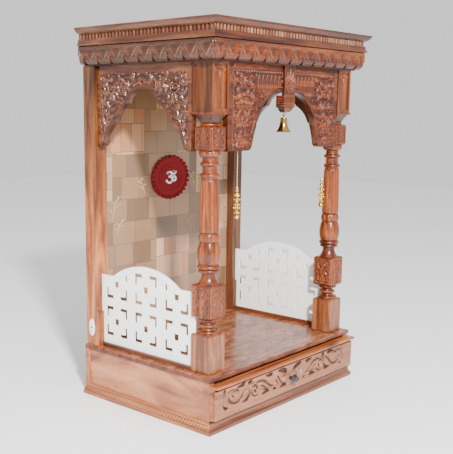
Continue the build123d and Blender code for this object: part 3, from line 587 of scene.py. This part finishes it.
# The flare is darkened all over as painted shadow of the box above it.
capital = (*capital[:2], np.full(capital[2].shape, 0.45))
shells = [flutes, collar, lotus, neck_leaves, capital, foot_beads]
shells += carved_square(27.3, carved_foot + 3, shaft_foot - 3)
shells += carved_square(24.0, top_block_foot + 3, top_block_foot + top_block_height - 3)
make_piece("left_column_carving", shells, carved_upright)
make_piece("right_column_carving", mirrored(shells), carved_upright)

# Rear posts and back panel: posts of polished sheesham, and a glossy laminate panel with a
# patchwork of overlapping squares in beige, tan and grey on its front and plain brown behind.

rear_wood = sheesham("rear_post_wood", "Z", "#753512", "#b3642f", "#d98a4e")
# The left post is painted darker towards its top, as painted shade under the cornice and arch
# board.
dress(toned(rear_wood, "Object", "Z", (0.42, "#ffffff"), (0.78, "#7c8492")), "rear_left_post")
# The right post has a darker copy of the same wood, as painted shade on its faces in view.
dress(sheesham("shaded_rear_post_wood", "Z", "#3c1b0e", "#62361e", "#7a482c"), "rear_right_post")
dress(sheesham("sill_wood", "Y", "#3c1a0c", "#66341c", "#80482a"), "left_sill", "right_sill")
patchwork, tree, shader = new_finish(
    "patchwork_laminate", 0.24, Coat_Weight=0.5, Coat_Roughness=0.08, IOR=1.5
)
place = add_node(tree, "ShaderNodeTexCoord").outputs["Object"]
upright = add_node(
    tree, "ShaderNodeMapping", {"Vector": place, "Rotation": (math.radians(90), 0, 0)}
).outputs[0]
colour = None
for wide, tall, first, second, shift, pale in (
    (0.048, 0.051, "#7c583a", "#cfa27c", 0.0, 0.0),
    (0.066, 0.042, "#dab28f", "#776049", 0.031, 0.22),
    (0.047, 0.072, "#a86c46", "#cfa681", 0.067, 0.30),
    (0.081, 0.058, "#6e543e", "#a87f5c", 0.049, 0.5),
):
    moved = add_node(
        tree, "ShaderNodeMapping", {"Vector": upright, "Location": (shift, shift * 0.6, 0)}
    ).outputs[0]
    layers = []
    for grown, colours, line in ((1, (first, second), 0.0007), (2, ("#000000", "#ffffff"), 0.0)):
        squares = {
            "Vector": moved,
            "Color1": linear(colours[0]),
            "Color2": linear(colours[1]),
            "Mortar": linear("#644c38"),
            "Scale": 1.0,
            "Mortar Size": line,
            "Brick Width": wide * grown,
            "Row Height": tall * grown,
            "Bias": 0.0,
        }
        laid = {"offset": 0.37, "squash": 0.8, "squash_frequency": 3}
        layers.append(add_node(tree, "ShaderNodeTexBrick", squares, **laid).outputs["Color"])
    if colour is None:
        colour = layers[0]
        continue
    stops = ((pale, "#000000"), (pale + 0.005, "#ffffff"))
    pick = add_node(tree, "ShaderNodeValToRGB", {"Fac": layers[1]}, stops=stops).outputs["Color"]
    colour = add_node(
        tree, "ShaderNodeMixRGB", {"Fac": pick, "Color1": colour, "Color2": layers[0]}
    ).outputs["Color"]
facing = add_node(tree, "ShaderNodeTexCoord").outputs["Normal"]
facing = add_node(tree, "ShaderNodeSeparateXYZ", {0: facing}).outputs["Y"]
behind = add_node(
    tree, "ShaderNodeValToRGB", {"Fac": facing}, stops=((0.4, "#000000"), (0.6, "#ffffff"))
).outputs["Color"]
rear = {"Fac": behind, "Color1": colour, "Color2": linear("#6a4630")}
colour = add_node(tree, "ShaderNodeMixRGB", rear).outputs["Color"]
tree.links.new(colour, shader.inputs["Base Color"])
# The panel is painted darker towards its top, as painted shade under the canopy.
dress(toned(patchwork, "Object", "Z", (0.6, "#ffffff"), (0.78, "#d0ccc4")), "back_panel")

# Sprigs on the back panel: small twigs with round buds, pressed from thin sheet and gilded, worn
# brown in places, and glued flat to the laminate.


def tube(path, radius, off, joined=False, sides=10):
    """Closed tube along a path in mm, with no stain and no painted shade; off is a direction that
    the path never takes.
    """
    path = np.array(path, float)
    ahead = np.roll(path, -1, 0) - np.roll(path, 1, 0) if joined else np.gradient(path, axis=0)
    ahead /= np.linalg.norm(ahead, axis=1)[:, None]
    side = np.cross(ahead, off)
    side /= np.linalg.norm(side, axis=1)[:, None]
    over = np.cross(side, ahead)
    turn = full_turn(sides)[:, None]
    reach = np.broadcast_to(radius, len(path))[:, None, None]
    round_it = np.cos(turn) * side[:, None] + np.sin(turn) * over[:, None]
    points = (path[:, None] + reach * round_it).reshape(-1, 3)
    grid = wrapped(len(path), sides)
    if joined:
        return points, [cells(np.concatenate([grid, grid[:1]]))], np.zeros(1)
    return points, [cells(grid), grid[0, None, :-1], grid[-1, None, :-1]], np.zeros(1)


def ball(centre, radius, tall=1.0, rings=10, sides=14):
    """Closed bead about a centre, stretched upward by tall, with no stain and no painted shade."""
    levels = np.linspace(-math.pi / 2, math.pi / 2, rings + 2)[1:-1]
    rise, turn = np.meshgrid(levels, full_turn(sides), indexing="ij")
    points = np.stack(
        [np.cos(rise) * np.cos(turn), np.cos(rise) * np.sin(turn), tall * np.sin(rise)], -1
    )
    grid = wrapped(rings, sides)
    faces = [cells(grid), grid[0, None, :-1], grid[-1, None, :-1]]
    return np.array(centre) + radius * points.reshape(-1, 3), faces, np.zeros(1)


def sprig(x, z, lean, size):
    """Shells of one twig from its foot at (x, z): a bent stem, four side twigs and their buds."""
    deep = panel_y - 0.3
    stem = flowing([(0, 0), (0.2 * lean, 0.35), (0.5 * lean, 0.7), (lean, 1)], 6) * size
    twigs = [(stem, 0.7)]
    for place, side in ((5, -1), (8, 1), (11, -1), (14, 1)):
        foot = stem[place]
        tip = foot + np.array([side * 0.3 + 0.1 * lean, 0.2]) * size
        twigs.append((flowing([foot, (foot + tip) / 2 + (0, 0.05 * size), tip], 5), 0.6))
    shells = []
    for line, thick in twigs:
        path = np.stack([x + line[:, 0], np.full(len(line), deep), z + line[:, 1]], -1)
        shells.append(tube(path, thick, (0.0, 1.0, 0.0)))
        for spot in path[-1:1:-3]:
            shells.append(ball(spot, 1.7, 1.25, 6, 9))
    return shells


panel_y = box_mm("back_panel")[0][1]
pressed_gilt = mottled(
    "pressed_gilt", 0.42, 1.2, (0.4, "#8f7a58"), (0.65, "#f0e2b8"), detail=2.0, Metallic=0.6
)
shells = sprig(92, 372, -0.4, 52) + sprig(-212, 440, 0.35, 62) + sprig(-196, 400, 0.5, 40)
shells += sprig(108, 505, -0.6, 48) + sprig(-92, 500, -0.7, 44)
make_piece("panel_sprigs", shells, pressed_gilt)

# Lattice panels: thin board sawn through with slots and squares, sprayed in white satin lacquer
# and let into the column and the rear post above the sill.

white_lacquer = mottled(
    "white_satin_lacquer", 0.32, 8.0, (0.3, "#f4f4f0"), (0.7, "#ffffff"), Coat_Weight=0.3
)
dress(white_lacquer, "left_jali", "right_jali")

# Arch boards: sheesham boards with cusped openings, their spandrels carved with dense leaves and
# curling stems, and a plain keystone strip that ends in a banded pendant.

dress(sheesham_across, "front_arch")
dress(sheesham_deep, "left_arch", "right_arch")
keystone_wood = sheesham("keystone_wood", "Z", "#3e1808", "#682e10", "#864418")
# The keystone's side faces are painted darker than its front, as painted shade.
dress(toned(keystone_wood, "Normal", "X", (0.3, "#ffffff"), (0.7, "#6c7076")), "keystone")
arch_foot_z, ceiling_z = (corner[2] for corner in box_mm("front_arch"))


def carved_field(foils, half_span, inner, outer, columns, rows):
    """Grid over half of an arch board, and each place's distance inside the carved field.

    Rows run from just inside the opening's moulding up to the ceiling. An opening is the foils'
    curves, each the parabola through its start, bend and end, as (share of the half span, depth
    below the ceiling).
    """
    across = np.linspace(inner, outer, columns)
    edge = np.full_like(across, arch_foot_z)
    for foil in foils:
        span, down = np.array(foil).T * [[half_span], [1.0]]
        held = (across >= span[0]) & (across <= span[2])
        edge[held] = ceiling_z - np.polyval(np.polyfit(span, down, 2), across[held])
    last = foils[-1][-1][0] * half_span
    held = (across > last) & (across < last + 14)
    edge[held] = arch_foot_z + 14 * (1 - ((across[held] - last) / 14) ** 0.5)
    slope = np.hypot(1, np.gradient(edge, across))
    share = np.linspace(0, 1, rows)[:, None]
    up = edge + 3 * slope + (ceiling_z - edge - 3 * slope) * share
    return np.broadcast_to(across, up.shape), up, (up - edge) / slope - 7.0


def round_bud(along, up, centre, radius):
    """Share of full height of a round bud, 1 at its centre and 0 at its edge."""
    return np.sqrt(np.clip(1 - np.hypot(along - centre[0], up - centre[1]) / radius, 0, None))


def foliage(along, up, stems, volutes, source_z, seed):
    """Height of open foliage: volutes, stems with leaves on both sides, and buds in the gaps.

    Each bud is a short leaf that grows away from the opening's middle at level source_z, and is
    cut only where the ground is bare for 4 mm round it. The height is the greatest of all.
    """
    chance = np.random.default_rng(seed)
    height = np.zeros_like(along)
    for centre, radius, start, turns in volutes:
        height = np.maximum(height, vine(along, up, curl(centre, radius, start, turns), 6.5, 5.0))
        height = np.maximum(height, 4.4 * round_bud(along, up, centre, 3.6))
        for k in range(6):
            turn = start + k * math.pi / 3
            root = (centre[0] + radius * math.cos(turn), centre[1] + radius * math.sin(turn))
            height = np.maximum(height, leaf(along, up, root, turn + 0.7, 17, 8.5, 4.8))
    for knots, width in stems:
        line = flowing(knots)
        height = np.maximum(height, vine(along, up, line, width, 4.2))
        for k, place in enumerate(line[6::13]):
            ahead = line[min(6 + 13 * k + 3, len(line) - 1)] - place
            turn = math.atan2(ahead[1], ahead[0])
            for side in (-1, 1):
                grown = leaf(along, up, place, turn + side * 0.8, 22, 10, 5.0)
                height = np.maximum(height, grown)
    for x in np.arange(along.min(), along.max(), 6.5):
        for z in np.arange(up.min(), up.max(), 6.5):
            spot = (x + chance.uniform(-1.5, 1.5), z + chance.uniform(-1.5, 1.5))
            around = np.hypot(along - spot[0], up - spot[1]) < 4.0
            if around.any() and height[around].max() < 0.4:
                turn = math.atan2(z - source_z, x) + chance.uniform(-0.7, 0.7)
                height = np.maximum(height, leaf(along, up, spot, turn, 12.5, 7.0, 3.8))
    return height


def framed(height, inside, frame):
    """A carving sunk in a plain frame, with a steep wall 1.2 mm wide between them."""
    wall = np.clip(inside / 1.2, 0, 1)
    return frame * (1 - wall) + (0.3 + height) * wall


carved_across = sheesham(
    "carved_arch_wood", "X", "#3c1303", "#622507", "#823d13", 0.5, figure_mm=18.0, shine=0.0
)
carved_deep = sheesham(
    "carved_side_arch_wood", "Y", "#3c180b", "#5e2f17", "#7c4a2c", 0.18, figure_mm=18.0, shine=0.4
)
front_foils = (
    ((0.000, 63.0), (0.308, 72.0), (0.471, 105.0)),
    ((0.471, 105.0), (0.519, 121.0), (0.539, 139.0)),
    ((0.539, 139.0), (0.582, 162.0), (0.607, 181.0)),
)
side_foils = (
    ((0.000, 55.0), (0.203, 63.5), (0.330, 89.0)),
    ((0.330, 89.0), (0.490, 107.0), (0.592, 133.5)),
    ((0.592, 133.5), (0.758, 154.0), (0.843, 186.0)),
)
along, up, inside = carved_field(front_foils, 220.7, 21.3, 203.6, 234, 146)
height = foliage(
    along,
    up,
    [
        ([(190, 644), (182, 670), (191, 700), (178, 728), (188, 756)], 4.4),
        ([(158, 648), (160, 676), (154, 704), (140, 730), (128, 752)], 4.4),
        ([(122, 764), (100, 770), (80, 768), (60, 770), (40, 768)], 3.6),
    ],
    [
        ((152, 786), 17, 3.4, 1.7),
        ((187, 786), 12, 0.2, -1.5),
        ((168, 742), 11, 2.6, 1.5),
        ((172, 690), 9, 0.4, -1.4),
        ((172, 652), 8, 2.0, 1.3),
    ],
    690.0,
    7,
)
for x in np.arange(30, 118, 15.5):
    flame = leaf(along, up, (x, 768.0), math.pi / 2, 38, 15.5, 2.3)
    height = np.where(np.abs(along - x) < 7.8, np.where(up > 767, flame, height), height)
scallop = np.sqrt(np.clip(1 - (((along + 3) % 9.0 - 4.5) / 4.5) ** 2, 0, None))
height = np.where(up > 806.5, 3.4 * scallop * (up < 806.5 + 5 * scallop), height)
inside = np.minimum.reduce([inside, 812.5 - up, 203.6 - along])
near_opening = (up < 812) & (inside < 0) & (along < 202)
relief = np.where(near_opening, 0.3, framed(height, inside, 2.6))
front_y = box_mm("front_arch")[0][1] + 2.2
shells = []
for side in (-1, 1):
    front = np.stack([side * along, front_y - relief, up], -1)
    back = np.stack([side * along, np.full_like(along, front_y + 3), up], -1)
    # The carving's ground is darkened as stain and painted shade, less among the flames along the
    # top.
    stain_and_shade = np.where((up > 767) & (along < 118), 0.45, 0.85) * (inside > 0)
    shells.append((*slab(front, back), sunk(relief, 2.2, 1.0) * stain_and_shade))
make_piece("front_arch_carving", shells, carved_across)

side_low, side_high = box_mm("left_arch")
side_middle, face_x = (side_low[1] + side_high[1]) / 2, side_low[0] + 2
shells = []
for side, seed in ((-1, 3), (1, 4)):
    along, up, inside = carved_field(side_foils, 153.0, 0.0, 151.5, 194, 108)
    height = foliage(
        along,
        up,
        [
            ([(136, 648), (128, 676), (116, 702), (108, 726), (88, 748)], 4.2),
            ([(84, 752), (66, 770), (48, 768), (26, 790), (4, 786)], 4.0),
            ([(132, 700), (134, 728), (124, 756), (128, 780)], 4.0),
        ],
        [((104, 772), 14, 2.4, 1.6), ((66, 792), 9, 0.4, -1.4), ((132, 796), 8, 3.0, 1.3)],
        690.0,
        seed,
    )
    inside = np.minimum.reduce([inside, 807.0 - up, 141.5 - along])
    near_opening = (up < 806) & (inside < 0) & (along < 140)
    relief = np.where(near_opening, 0.3, framed(height, inside, 2.2))
    front = np.stack([face_x - relief, side_middle + side * along, up], -1)
    back = np.stack([np.full_like(along, face_x + 3), side_middle + side * along, up], -1)
    shells.append((*slab(front, back), sunk(relief, 2.2, 0.85) * (inside > 0)))
make_piece("left_arch_carving", shells, carved_deep)
make_piece("right_arch_carving", mirrored(shells), carved_deep)

keystone_y = box_mm("keystone")[0][1]
along, up = np.meshgrid(np.linspace(-19, 19, 60), np.linspace(760, 824, 90))
height = np.zeros_like(along)
for turn, length in ((-0.36, 44), (0.36, 44), (-0.18, 52), (0.18, 52), (0.0, 58)):
    fan = leaf(along, up, (turn * 14, 762.0), math.pi / 2 - turn, length, 10, 3.4)
    height = np.maximum(height, fan)
front = np.stack([along, keystone_y - 0.2 - height, up], -1)
back = np.stack([along, np.full_like(along, keystone_y + 2), up], -1)
shells = [(*slab(front, back), sunk(height, 1.6, 0.7))]
turn = full_turn(72)
reach = 1 / np.maximum(np.abs(np.cos(turn)) / 20.6, np.abs(np.sin(turn)) / 11.6)
for level in (756.0, 750.5, 745.0, 739.5, 734.0):
    ring = np.stack(
        [reach * np.cos(turn), keystone_y + 12 + reach * np.sin(turn), np.full(72, level)], -1
    )
    shells.append(tube(ring, 1.9, (0.0, 0.0, 1.0), joined=True))
make_piece("keystone_carving", shells, carved_across)

# Box ornaments: a small carved festoon let into the panel of the square box over each column. It
# is plain polished sheesham, rounded over so that its edges shine.

box_wood = sheesham("box_wood", "Z", "#461a06", "#71330e", "#944f1a")
# Faces that do not face front or back, the boxes' sides most of all, are painted darker as painted
# shade.
toned(box_wood, "Normal", "Y", (0.3, "#b8bcc0"), (0.7, "#ffffff"))
dress(box_wood, "left_box", "right_box")
box_low, box_high = box_mm("left_box")
box_x = (box_low[0] + box_high[0]) / 2
along, up = np.meshgrid(np.linspace(-20, 20, 58), np.linspace(782, 815, 48))
height = leaf(along, up, (0.0, 807.0), -math.pi / 2, 18, 9, 3.2)
for side in (-1, 1):
    line = flowing([(0, 804), (side * 7, 808), (side * 13, 805), (side * 17, 811)])
    height = np.maximum(height, vine(along, up, line, 6.0, 3.6))
front = np.stack([box_x + along, box_low[1] + 3 - 0.1 - height, up], -1)
back = np.stack([box_x + along, np.full_like(along, box_low[1] + 5), up], -1)
shells = [(*slab(front, back), np.zeros(1))]
make_piece("box_festoons", shells + mirrored(shells), sheesham_upright)

# Cornice: boards and mouldings glued to a hidden box, with small dentils set under the cove and a
# frieze of carved petals below them, all in stained sheesham.

dress(sheesham_across, "ceiling_board", "cornice_box", "roof_board")
dress(sheesham_across, "frieze_front", "cornice_front")
dress(sheesham_deep, "frieze_left", "frieze_right")
side_cornice_wood = sheesham("side_cornice_wood", "Y", "#401f12", "#663820", "#845236")
dress(side_cornice_wood, "cornice_left", "cornice_right")
dentil_wood = sheesham("pale_dentil_wood", "Z", "#643c28", "#885b42", "#a4785a")
# The side runs of dentils are painted darker than the front run, as painted shade.
dress(toned(dentil_wood, "Object", "X", (0.29, "#ffffff"), (0.294, "#b89e8c")), "dentils")


def bed_strip(along, place, stain_and_shade):
    """Thin strip on the dentils' bed, its rim turned in, between two places of a run, darkened as
    painted shade and dirt between the dentils.
    """
    levels = np.linspace(dentil_low + 0.2, dentil_high - 0.2, 6)
    run, up = np.meshgrid(np.linspace(*along, 60), levels)
    return *slab(place(run, 0.25, up), place(run, -0.5, up)), np.full(run.size, stain_and_shade)


dentil_low, dentil_high = (corner[2] for corner in box_mm("dentils"))
crown_x, crown_y = box_mm("cornice_left")[0][0], box_mm("cornice_front")[0][1]
# The strips are darkened as painted shade between the dentils, more on the front run than on the
# sides.
front_bed = bed_strip(
    (crown_x + 17, -crown_x - 17),
    lambda run, out, up: np.stack([run, crown_y + 16 - out + 0 * run, up], -1),
    0.85,
)
left_bed = bed_strip(
    (crown_y + 17, 226),
    lambda run, out, up: np.stack([crown_x + 16 - out + 0 * run, run, up], -1),
    0.45,
)
make_piece("shaded_dentil_bed", [front_bed, left_bed, *mirrored([left_bed])], sheesham_across)


def petals(centres, halves, place):
    """Petals of the frieze: each a cup with a rolled rim and a V of two stems in it.

    A petal fills the face between two notches, so its sides draw in below them. place turns the
    distance along the run, the height out of the face and the level into points.
    """
    shells = []
    for middle, half in zip(centres, halves):
        share, up = np.meshgrid(np.linspace(-1, 1, 44), np.linspace(830.5, 871.5, 40))
        notch = 7.7 * np.clip(1 - (up - 829) / 16, 0, None) ** 0.6
        along = share * (half - notch)
        bowl = np.hypot(
            along / (0.86 * half) * np.clip((858 - up) / 12, 0, 1), np.clip(860 - up, 0, None) / 31
        )
        pillow = 3.4 * np.sqrt(np.clip(1 - (bowl / 1.14) ** 4, 0, 1))
        flat = np.clip((up - 862) / 3, 0, 1)
        cup = np.clip(1.3 - np.hypot(along / (0.62 * half), (856 - up) / 18), 0, 1) ** 0.5
        height = 0.3 + pillow * (1 - 0.92 * cup)
        height = height * (1 - flat) + 3.0 * flat
        for side in (-1, 1):
            knots = [(0, 836), (0.34 * half, 845), (0.68 * half, 855), (0.97 * half, 861)]
            arm = flowing([(side * x, z) for x, z in knots])
            height = np.maximum(height, vine(along, up, arm, 7.0, 5.0))
        edge = ((np.abs(share) > 0.985) & (up < 845)) | (up < 831) | (up > 871)
        height = np.where(edge, 0.1, height)
        front = place(middle + along, height, up)
        back = place(middle + along, np.full_like(height, -2.5), up)
        # Beside the notches the petals are darkened further as painted shade.
        notch_shade = np.clip(np.abs(share) * 4 - 3, 0, 1) * np.clip((852 - up) / 6, 0, 1)
        shells.append((*slab(front, back), np.maximum(sunk(height, 2.6, 0.8), 0.85 * notch_shade)))
    return shells


def front_frieze(along, out, up):
    """Points on the front frieze, whose face swells back by 7 mm below level 845."""
    return np.stack([along, frieze_y - out + 7.0 * np.clip((845 - up) / 16, 0, 1) ** 2, up], -1)


def left_frieze(along, out, up):
    """Points on the left frieze: the front one's, moved and with their first axes swapped."""
    return front_frieze(along, out + frieze_y - frieze_x, up)[..., [1, 0, 2]]


frieze_x, frieze_y = box_mm("frieze_left")[0][0], box_mm("frieze_front")[0][1]
centres = np.arange(-6, 7) * 48.2
halves = np.full(13, 24.1)
centres[[0, -1]] = (-282.8, 282.8)
halves[[0, -1]] = 17.7
carved_frieze = sheesham("carved_frieze_wood", "X", "#401703", "#632808", "#834011", 0.26)
carved_side_frieze = sheesham("carved_side_frieze_wood", "Y", "#341b0d", "#4f2c19", "#653e29", 0.26)
make_piece("front_petals", petals(centres, halves, front_frieze), carved_frieze)
centres = np.concatenate([[-178.2], -133.6 + 45.6 * np.arange(8), [217.5]])
halves = np.concatenate([[21.8], np.full(8, 22.8), [9.1]])
shells = petals(centres, halves, left_frieze)
make_piece("left_petals", shells, carved_side_frieze)
make_piece("right_petals", mirrored(shells), carved_side_frieze)

# Bell: a small bell with its clapper, cast in brass, turned and polished. Its ring hangs in a brass
# eye in the keystone's pendant.

brass = new_finish("polished_brass", 0.16, Metallic=1.0, Base_Color=linear("#c39c4c"))[0]
dress(brass, "bell", "bell_clapper", "bell_eye")

# Bead tassels: gilt metal beads threaded on golden cotton, with clusters of small beads tied on
# and two large ringed ones at the foot. They hang by their threads under the front arch's feet.

gilt = new_finish("gilt_beads", 0.2, Metallic=1.0, Base_Color=linear("#e6bb5a"))[0]
dress(gilt, "left_tassel_beads", "right_tassel_beads")
for side in ("left", "right"):
    low, high = box_mm(f"{side}_tassel_beads")
    middle = (low + high) / 2
    shells = []
    for level, reach, size, count in (
        (0.74, 5.0, 1.9, 6),
        (0.62, 6.4, 2.2, 7),
        (0.46, 5.4, 2.0, 6),
        (0.36, 6.6, 2.3, 7),
        (0.20, 5.0, 2.1, 6),
    ):
        z = low[2] + level * (high[2] - low[2])
        for turn in full_turn(count) + level * 9:
            spot = (middle[0] + reach * math.cos(turn), middle[1] + reach * math.sin(turn), z)
            shells.append(ball(spot, size, 1.2))
    for turn in (0.6, 0.6 + math.pi):
        spot = (middle[0] + 6.4 * math.cos(turn), middle[1] + 6.4 * math.sin(turn), low[2] + 6.5)
        shells.append(ball(spot, 5.6, 1.05, 14, 20))
        path = [
            (spot[0] + 5.9 * math.cos(a), spot[1] + 5.9 * math.sin(a), spot[2])
            for a in full_turn(36)
        ]
        shells.append(tube(path, 0.8, (0.0, 0.0, 1.0), joined=True))
    make_piece(f"{side}_tassel_clusters", shells, gilt)

cotton = new_finish("golden_cotton", 0.8, Base_Color=linear("#c9a46a"))[0]
thread_diameter = 0.0014
for side in ("left", "right"):
    low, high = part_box(f"{side}_tassel_thread")
    middle_x, middle_y = (low.x + high.x) / 2, (low.y + high.y) / 2
    line = bpy.data.curves.new(f"{side}_tassel_string", "CURVE")
    line.dimensions = "3D"
    line.bevel_depth = thread_diameter / 2
    line.bevel_resolution = 2
    line.use_fill_caps = True
    spline = line.splines.new("NURBS")
    heights = np.linspace(high.z, low.z, 5)
    spline.points.add(len(heights) - 1)
    for point, z in zip(spline.points, heights):
        point.co = (middle_x, middle_y, z, 1)
    spline.order_u = 3
    spline.use_endpoint_u = True
    line.materials.append(cotton)
    string = bpy.data.objects.new(f"{side}_tassel_string", line)
    bpy.context.scene.collection.objects.link(string)
    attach(string, "cabinet")
    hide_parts(f"{side}_tassel_thread")

# Plaque: a scalloped board covered in deep red velvet and glued to the back panel. Its rim is a
# row of padded knobs round rings of piping, and the sign on it is cast and enamelled in silver.

nap = ((0.3, "#5c0006"), (0.7, "#940610"))
velvet = mottled(
    "deep_red_velvet", 0.9, 0.5, *nap, detail=4.0, Sheen_Weight=0.03, Sheen_Roughness=0.3
)
dress(velvet, "plaque")
plaque_low, plaque_high = box_mm("plaque")
plaque_x, plaque_z = (plaque_low[0] + plaque_high[0]) / 2, (plaque_low[2] + plaque_high[2]) / 2
silver_enamel = mottled(
    "silver_enamel", 0.3, 0.25, (0.3, "#e6e2e0"), (0.7, "#ffffff"), Metallic=0.25, Coat_Weight=0.4
)


def on_plaque(across, up, out):
    """Path in mm, given about the plaque's middle, at a distance out of its face."""
    deep = np.full(len(across), plaque_low[1] - out)
    return np.stack([plaque_x + across, deep, plaque_z + up], -1)


shells = []
for knots, thick in (
    ([(-16, 12), (-9, 18), (0, 17), (3, 10), (-3, 4), (-9, 2)], (2.2, 3.2)),
    ([(-9, 2), (-1, 2), (5, -4), (3, -13), (-6, -18), (-15, -14), (-18, -8)], (2.6, 3.4)),
    ([(2, -1), (9, 3), (15, 1), (18, -6), (14, -12), (8, -10)], (2.4, 3.2)),
    ([(4, 15), (10, 11), (17, 13), (21, 19)], (1.8, 2.6)),
    ([(11.5, 20), (12.5, 20.6)], (2.6, 2.6)),
):
    line = flowing(knots)
    swell = thick[0] + (thick[1] - thick[0]) * np.sin(np.linspace(0.2, math.pi - 0.2, len(line)))
    path = on_plaque(line[:, 0], 0.82 * line[:, 1], 1.2)
    shells.append(tube(path, swell, (0.0, 1.0, 0.0)))
make_piece("plaque_sign", shells, silver_enamel)
turn = full_turn(28)
rim = on_plaque(69.5 * np.cos(turn), 56.0 * np.sin(turn), 0.2)
shells = [ball(spot, 4.6, 1.0, 6, 12) for spot in rim]
turn = full_turn(160)
for share, thick in ((0.86, 1.5), (0.60, 1.1), (0.46, 0.9)):
    path = on_plaque(share * 74 * np.cos(turn), share * 60 * np.sin(turn), 0.2)
    shells.append(tube(path, thick, (0.0, 1.0, 0.0), joined=True))
make_piece("plaque_piping", shells, velvet)

# Oval cover: moulded white plastic over a cable hole in the left rear post, held by one dark
# steel screw through its middle.

white_plastic = new_finish("moulded_white_plastic", 0.28, Base_Color=linear("#ecebe6"))[0]
dress(white_plastic, "oval_cover")
dark_steel = mottled(
    "dark_steel_screw", 0.35, 0.05, (0.4, "#2b2a2c"), (0.7, "#6f6a66"), detail=2.0, Metallic=1.0
)
low, high = box_mm("oval_cover")
head = (low[0] + 0.6, (low[1] + high[1]) / 2, (low[2] + high[2]) / 2)
make_piece("cover_screw", [ball(head, 2.6, 1.0, 8, 20)], dark_steel)

# Studio: a plain pale floor, even white light from all round with one small strong lamp and one
# weak one beside it, and the camera fitted to the picture's straight edges.

floor_paint = new_finish("pale_floor", 0.6, Base_Color=linear("#ffffff"))[0]
floor_mesh = bpy.data.meshes.new("floor")
floor_mesh.from_pydata([(-6, -6, 0), (6, -6, 0), (6, 6, 0), (-6, 6, 0)], [], [(0, 1, 2, 3)])
floor_mesh.materials.append(floor_paint)
floor = bpy.data.objects.new("floor", floor_mesh)
bpy.context.scene.collection.objects.link(floor)

world = bpy.data.worlds.new("studio")
world.use_nodes = True
world.node_tree.nodes["Background"].inputs["Color"].default_value = (1, 1, 1, 1)
world.node_tree.nodes["Background"].inputs["Strength"].default_value = 1.0
bpy.context.scene.world = world
for name, spot, size, power in (
    ("key_light", (-1.84, -2.3, 2.2), 0.25, 330),
    ("left_light", (-2.6, 0.3, 0.35), 1.2, 8),
):
    lamp = bpy.data.lights.new(name, "AREA")
    lamp.energy = power
    lamp.size = size
    light = bpy.data.objects.new(name, lamp)
    across, away, down = np.array(spot) - (0, 0, 0.5)
    tilt, turn = math.atan2(math.hypot(across, away), down), math.atan2(across, -away)
    light.location = spot
    light.visible_camera = False
    light.rotation_euler = (tilt, 0, turn)
    bpy.context.scene.collection.objects.link(light)

lens = bpy.data.cameras.new("camera")
width_px, height_px, focal_px, centre_px = 453, 454, 810.2, (184.8, 260.0)
lens.lens = focal_px * lens.sensor_width / height_px
lens.shift_x = (width_px / 2 - centre_px[0]) / height_px
lens.shift_y = (centre_px[1] - height_px / 2) / height_px
lens.clip_end = 50
camera = bpy.data.objects.new("camera", lens)
camera.location = (-1.6158, -1.3139, 0.7188)
yaw, pitch, roll = (math.radians(angle) for angle in (47.80, -10.37, 0.34))
forward = np.array(
    [math.sin(yaw) * math.cos(pitch), math.cos(yaw) * math.cos(pitch), math.sin(pitch)]
)
level = np.array([math.cos(yaw), -math.sin(yaw), 0])
above = np.cross(level, forward)
right = level * math.cos(roll) + above * math.sin(roll)
top = above * math.cos(roll) - level * math.sin(roll)
turn = np.eye(4)
turn[:3, 0], turn[:3, 1], turn[:3, 2] = right, top, -forward
turn[:3, 3] = camera.location
camera.matrix_world = Matrix(turn.tolist())
bpy.context.scene.collection.objects.link(camera)
bpy.context.scene.camera = camera
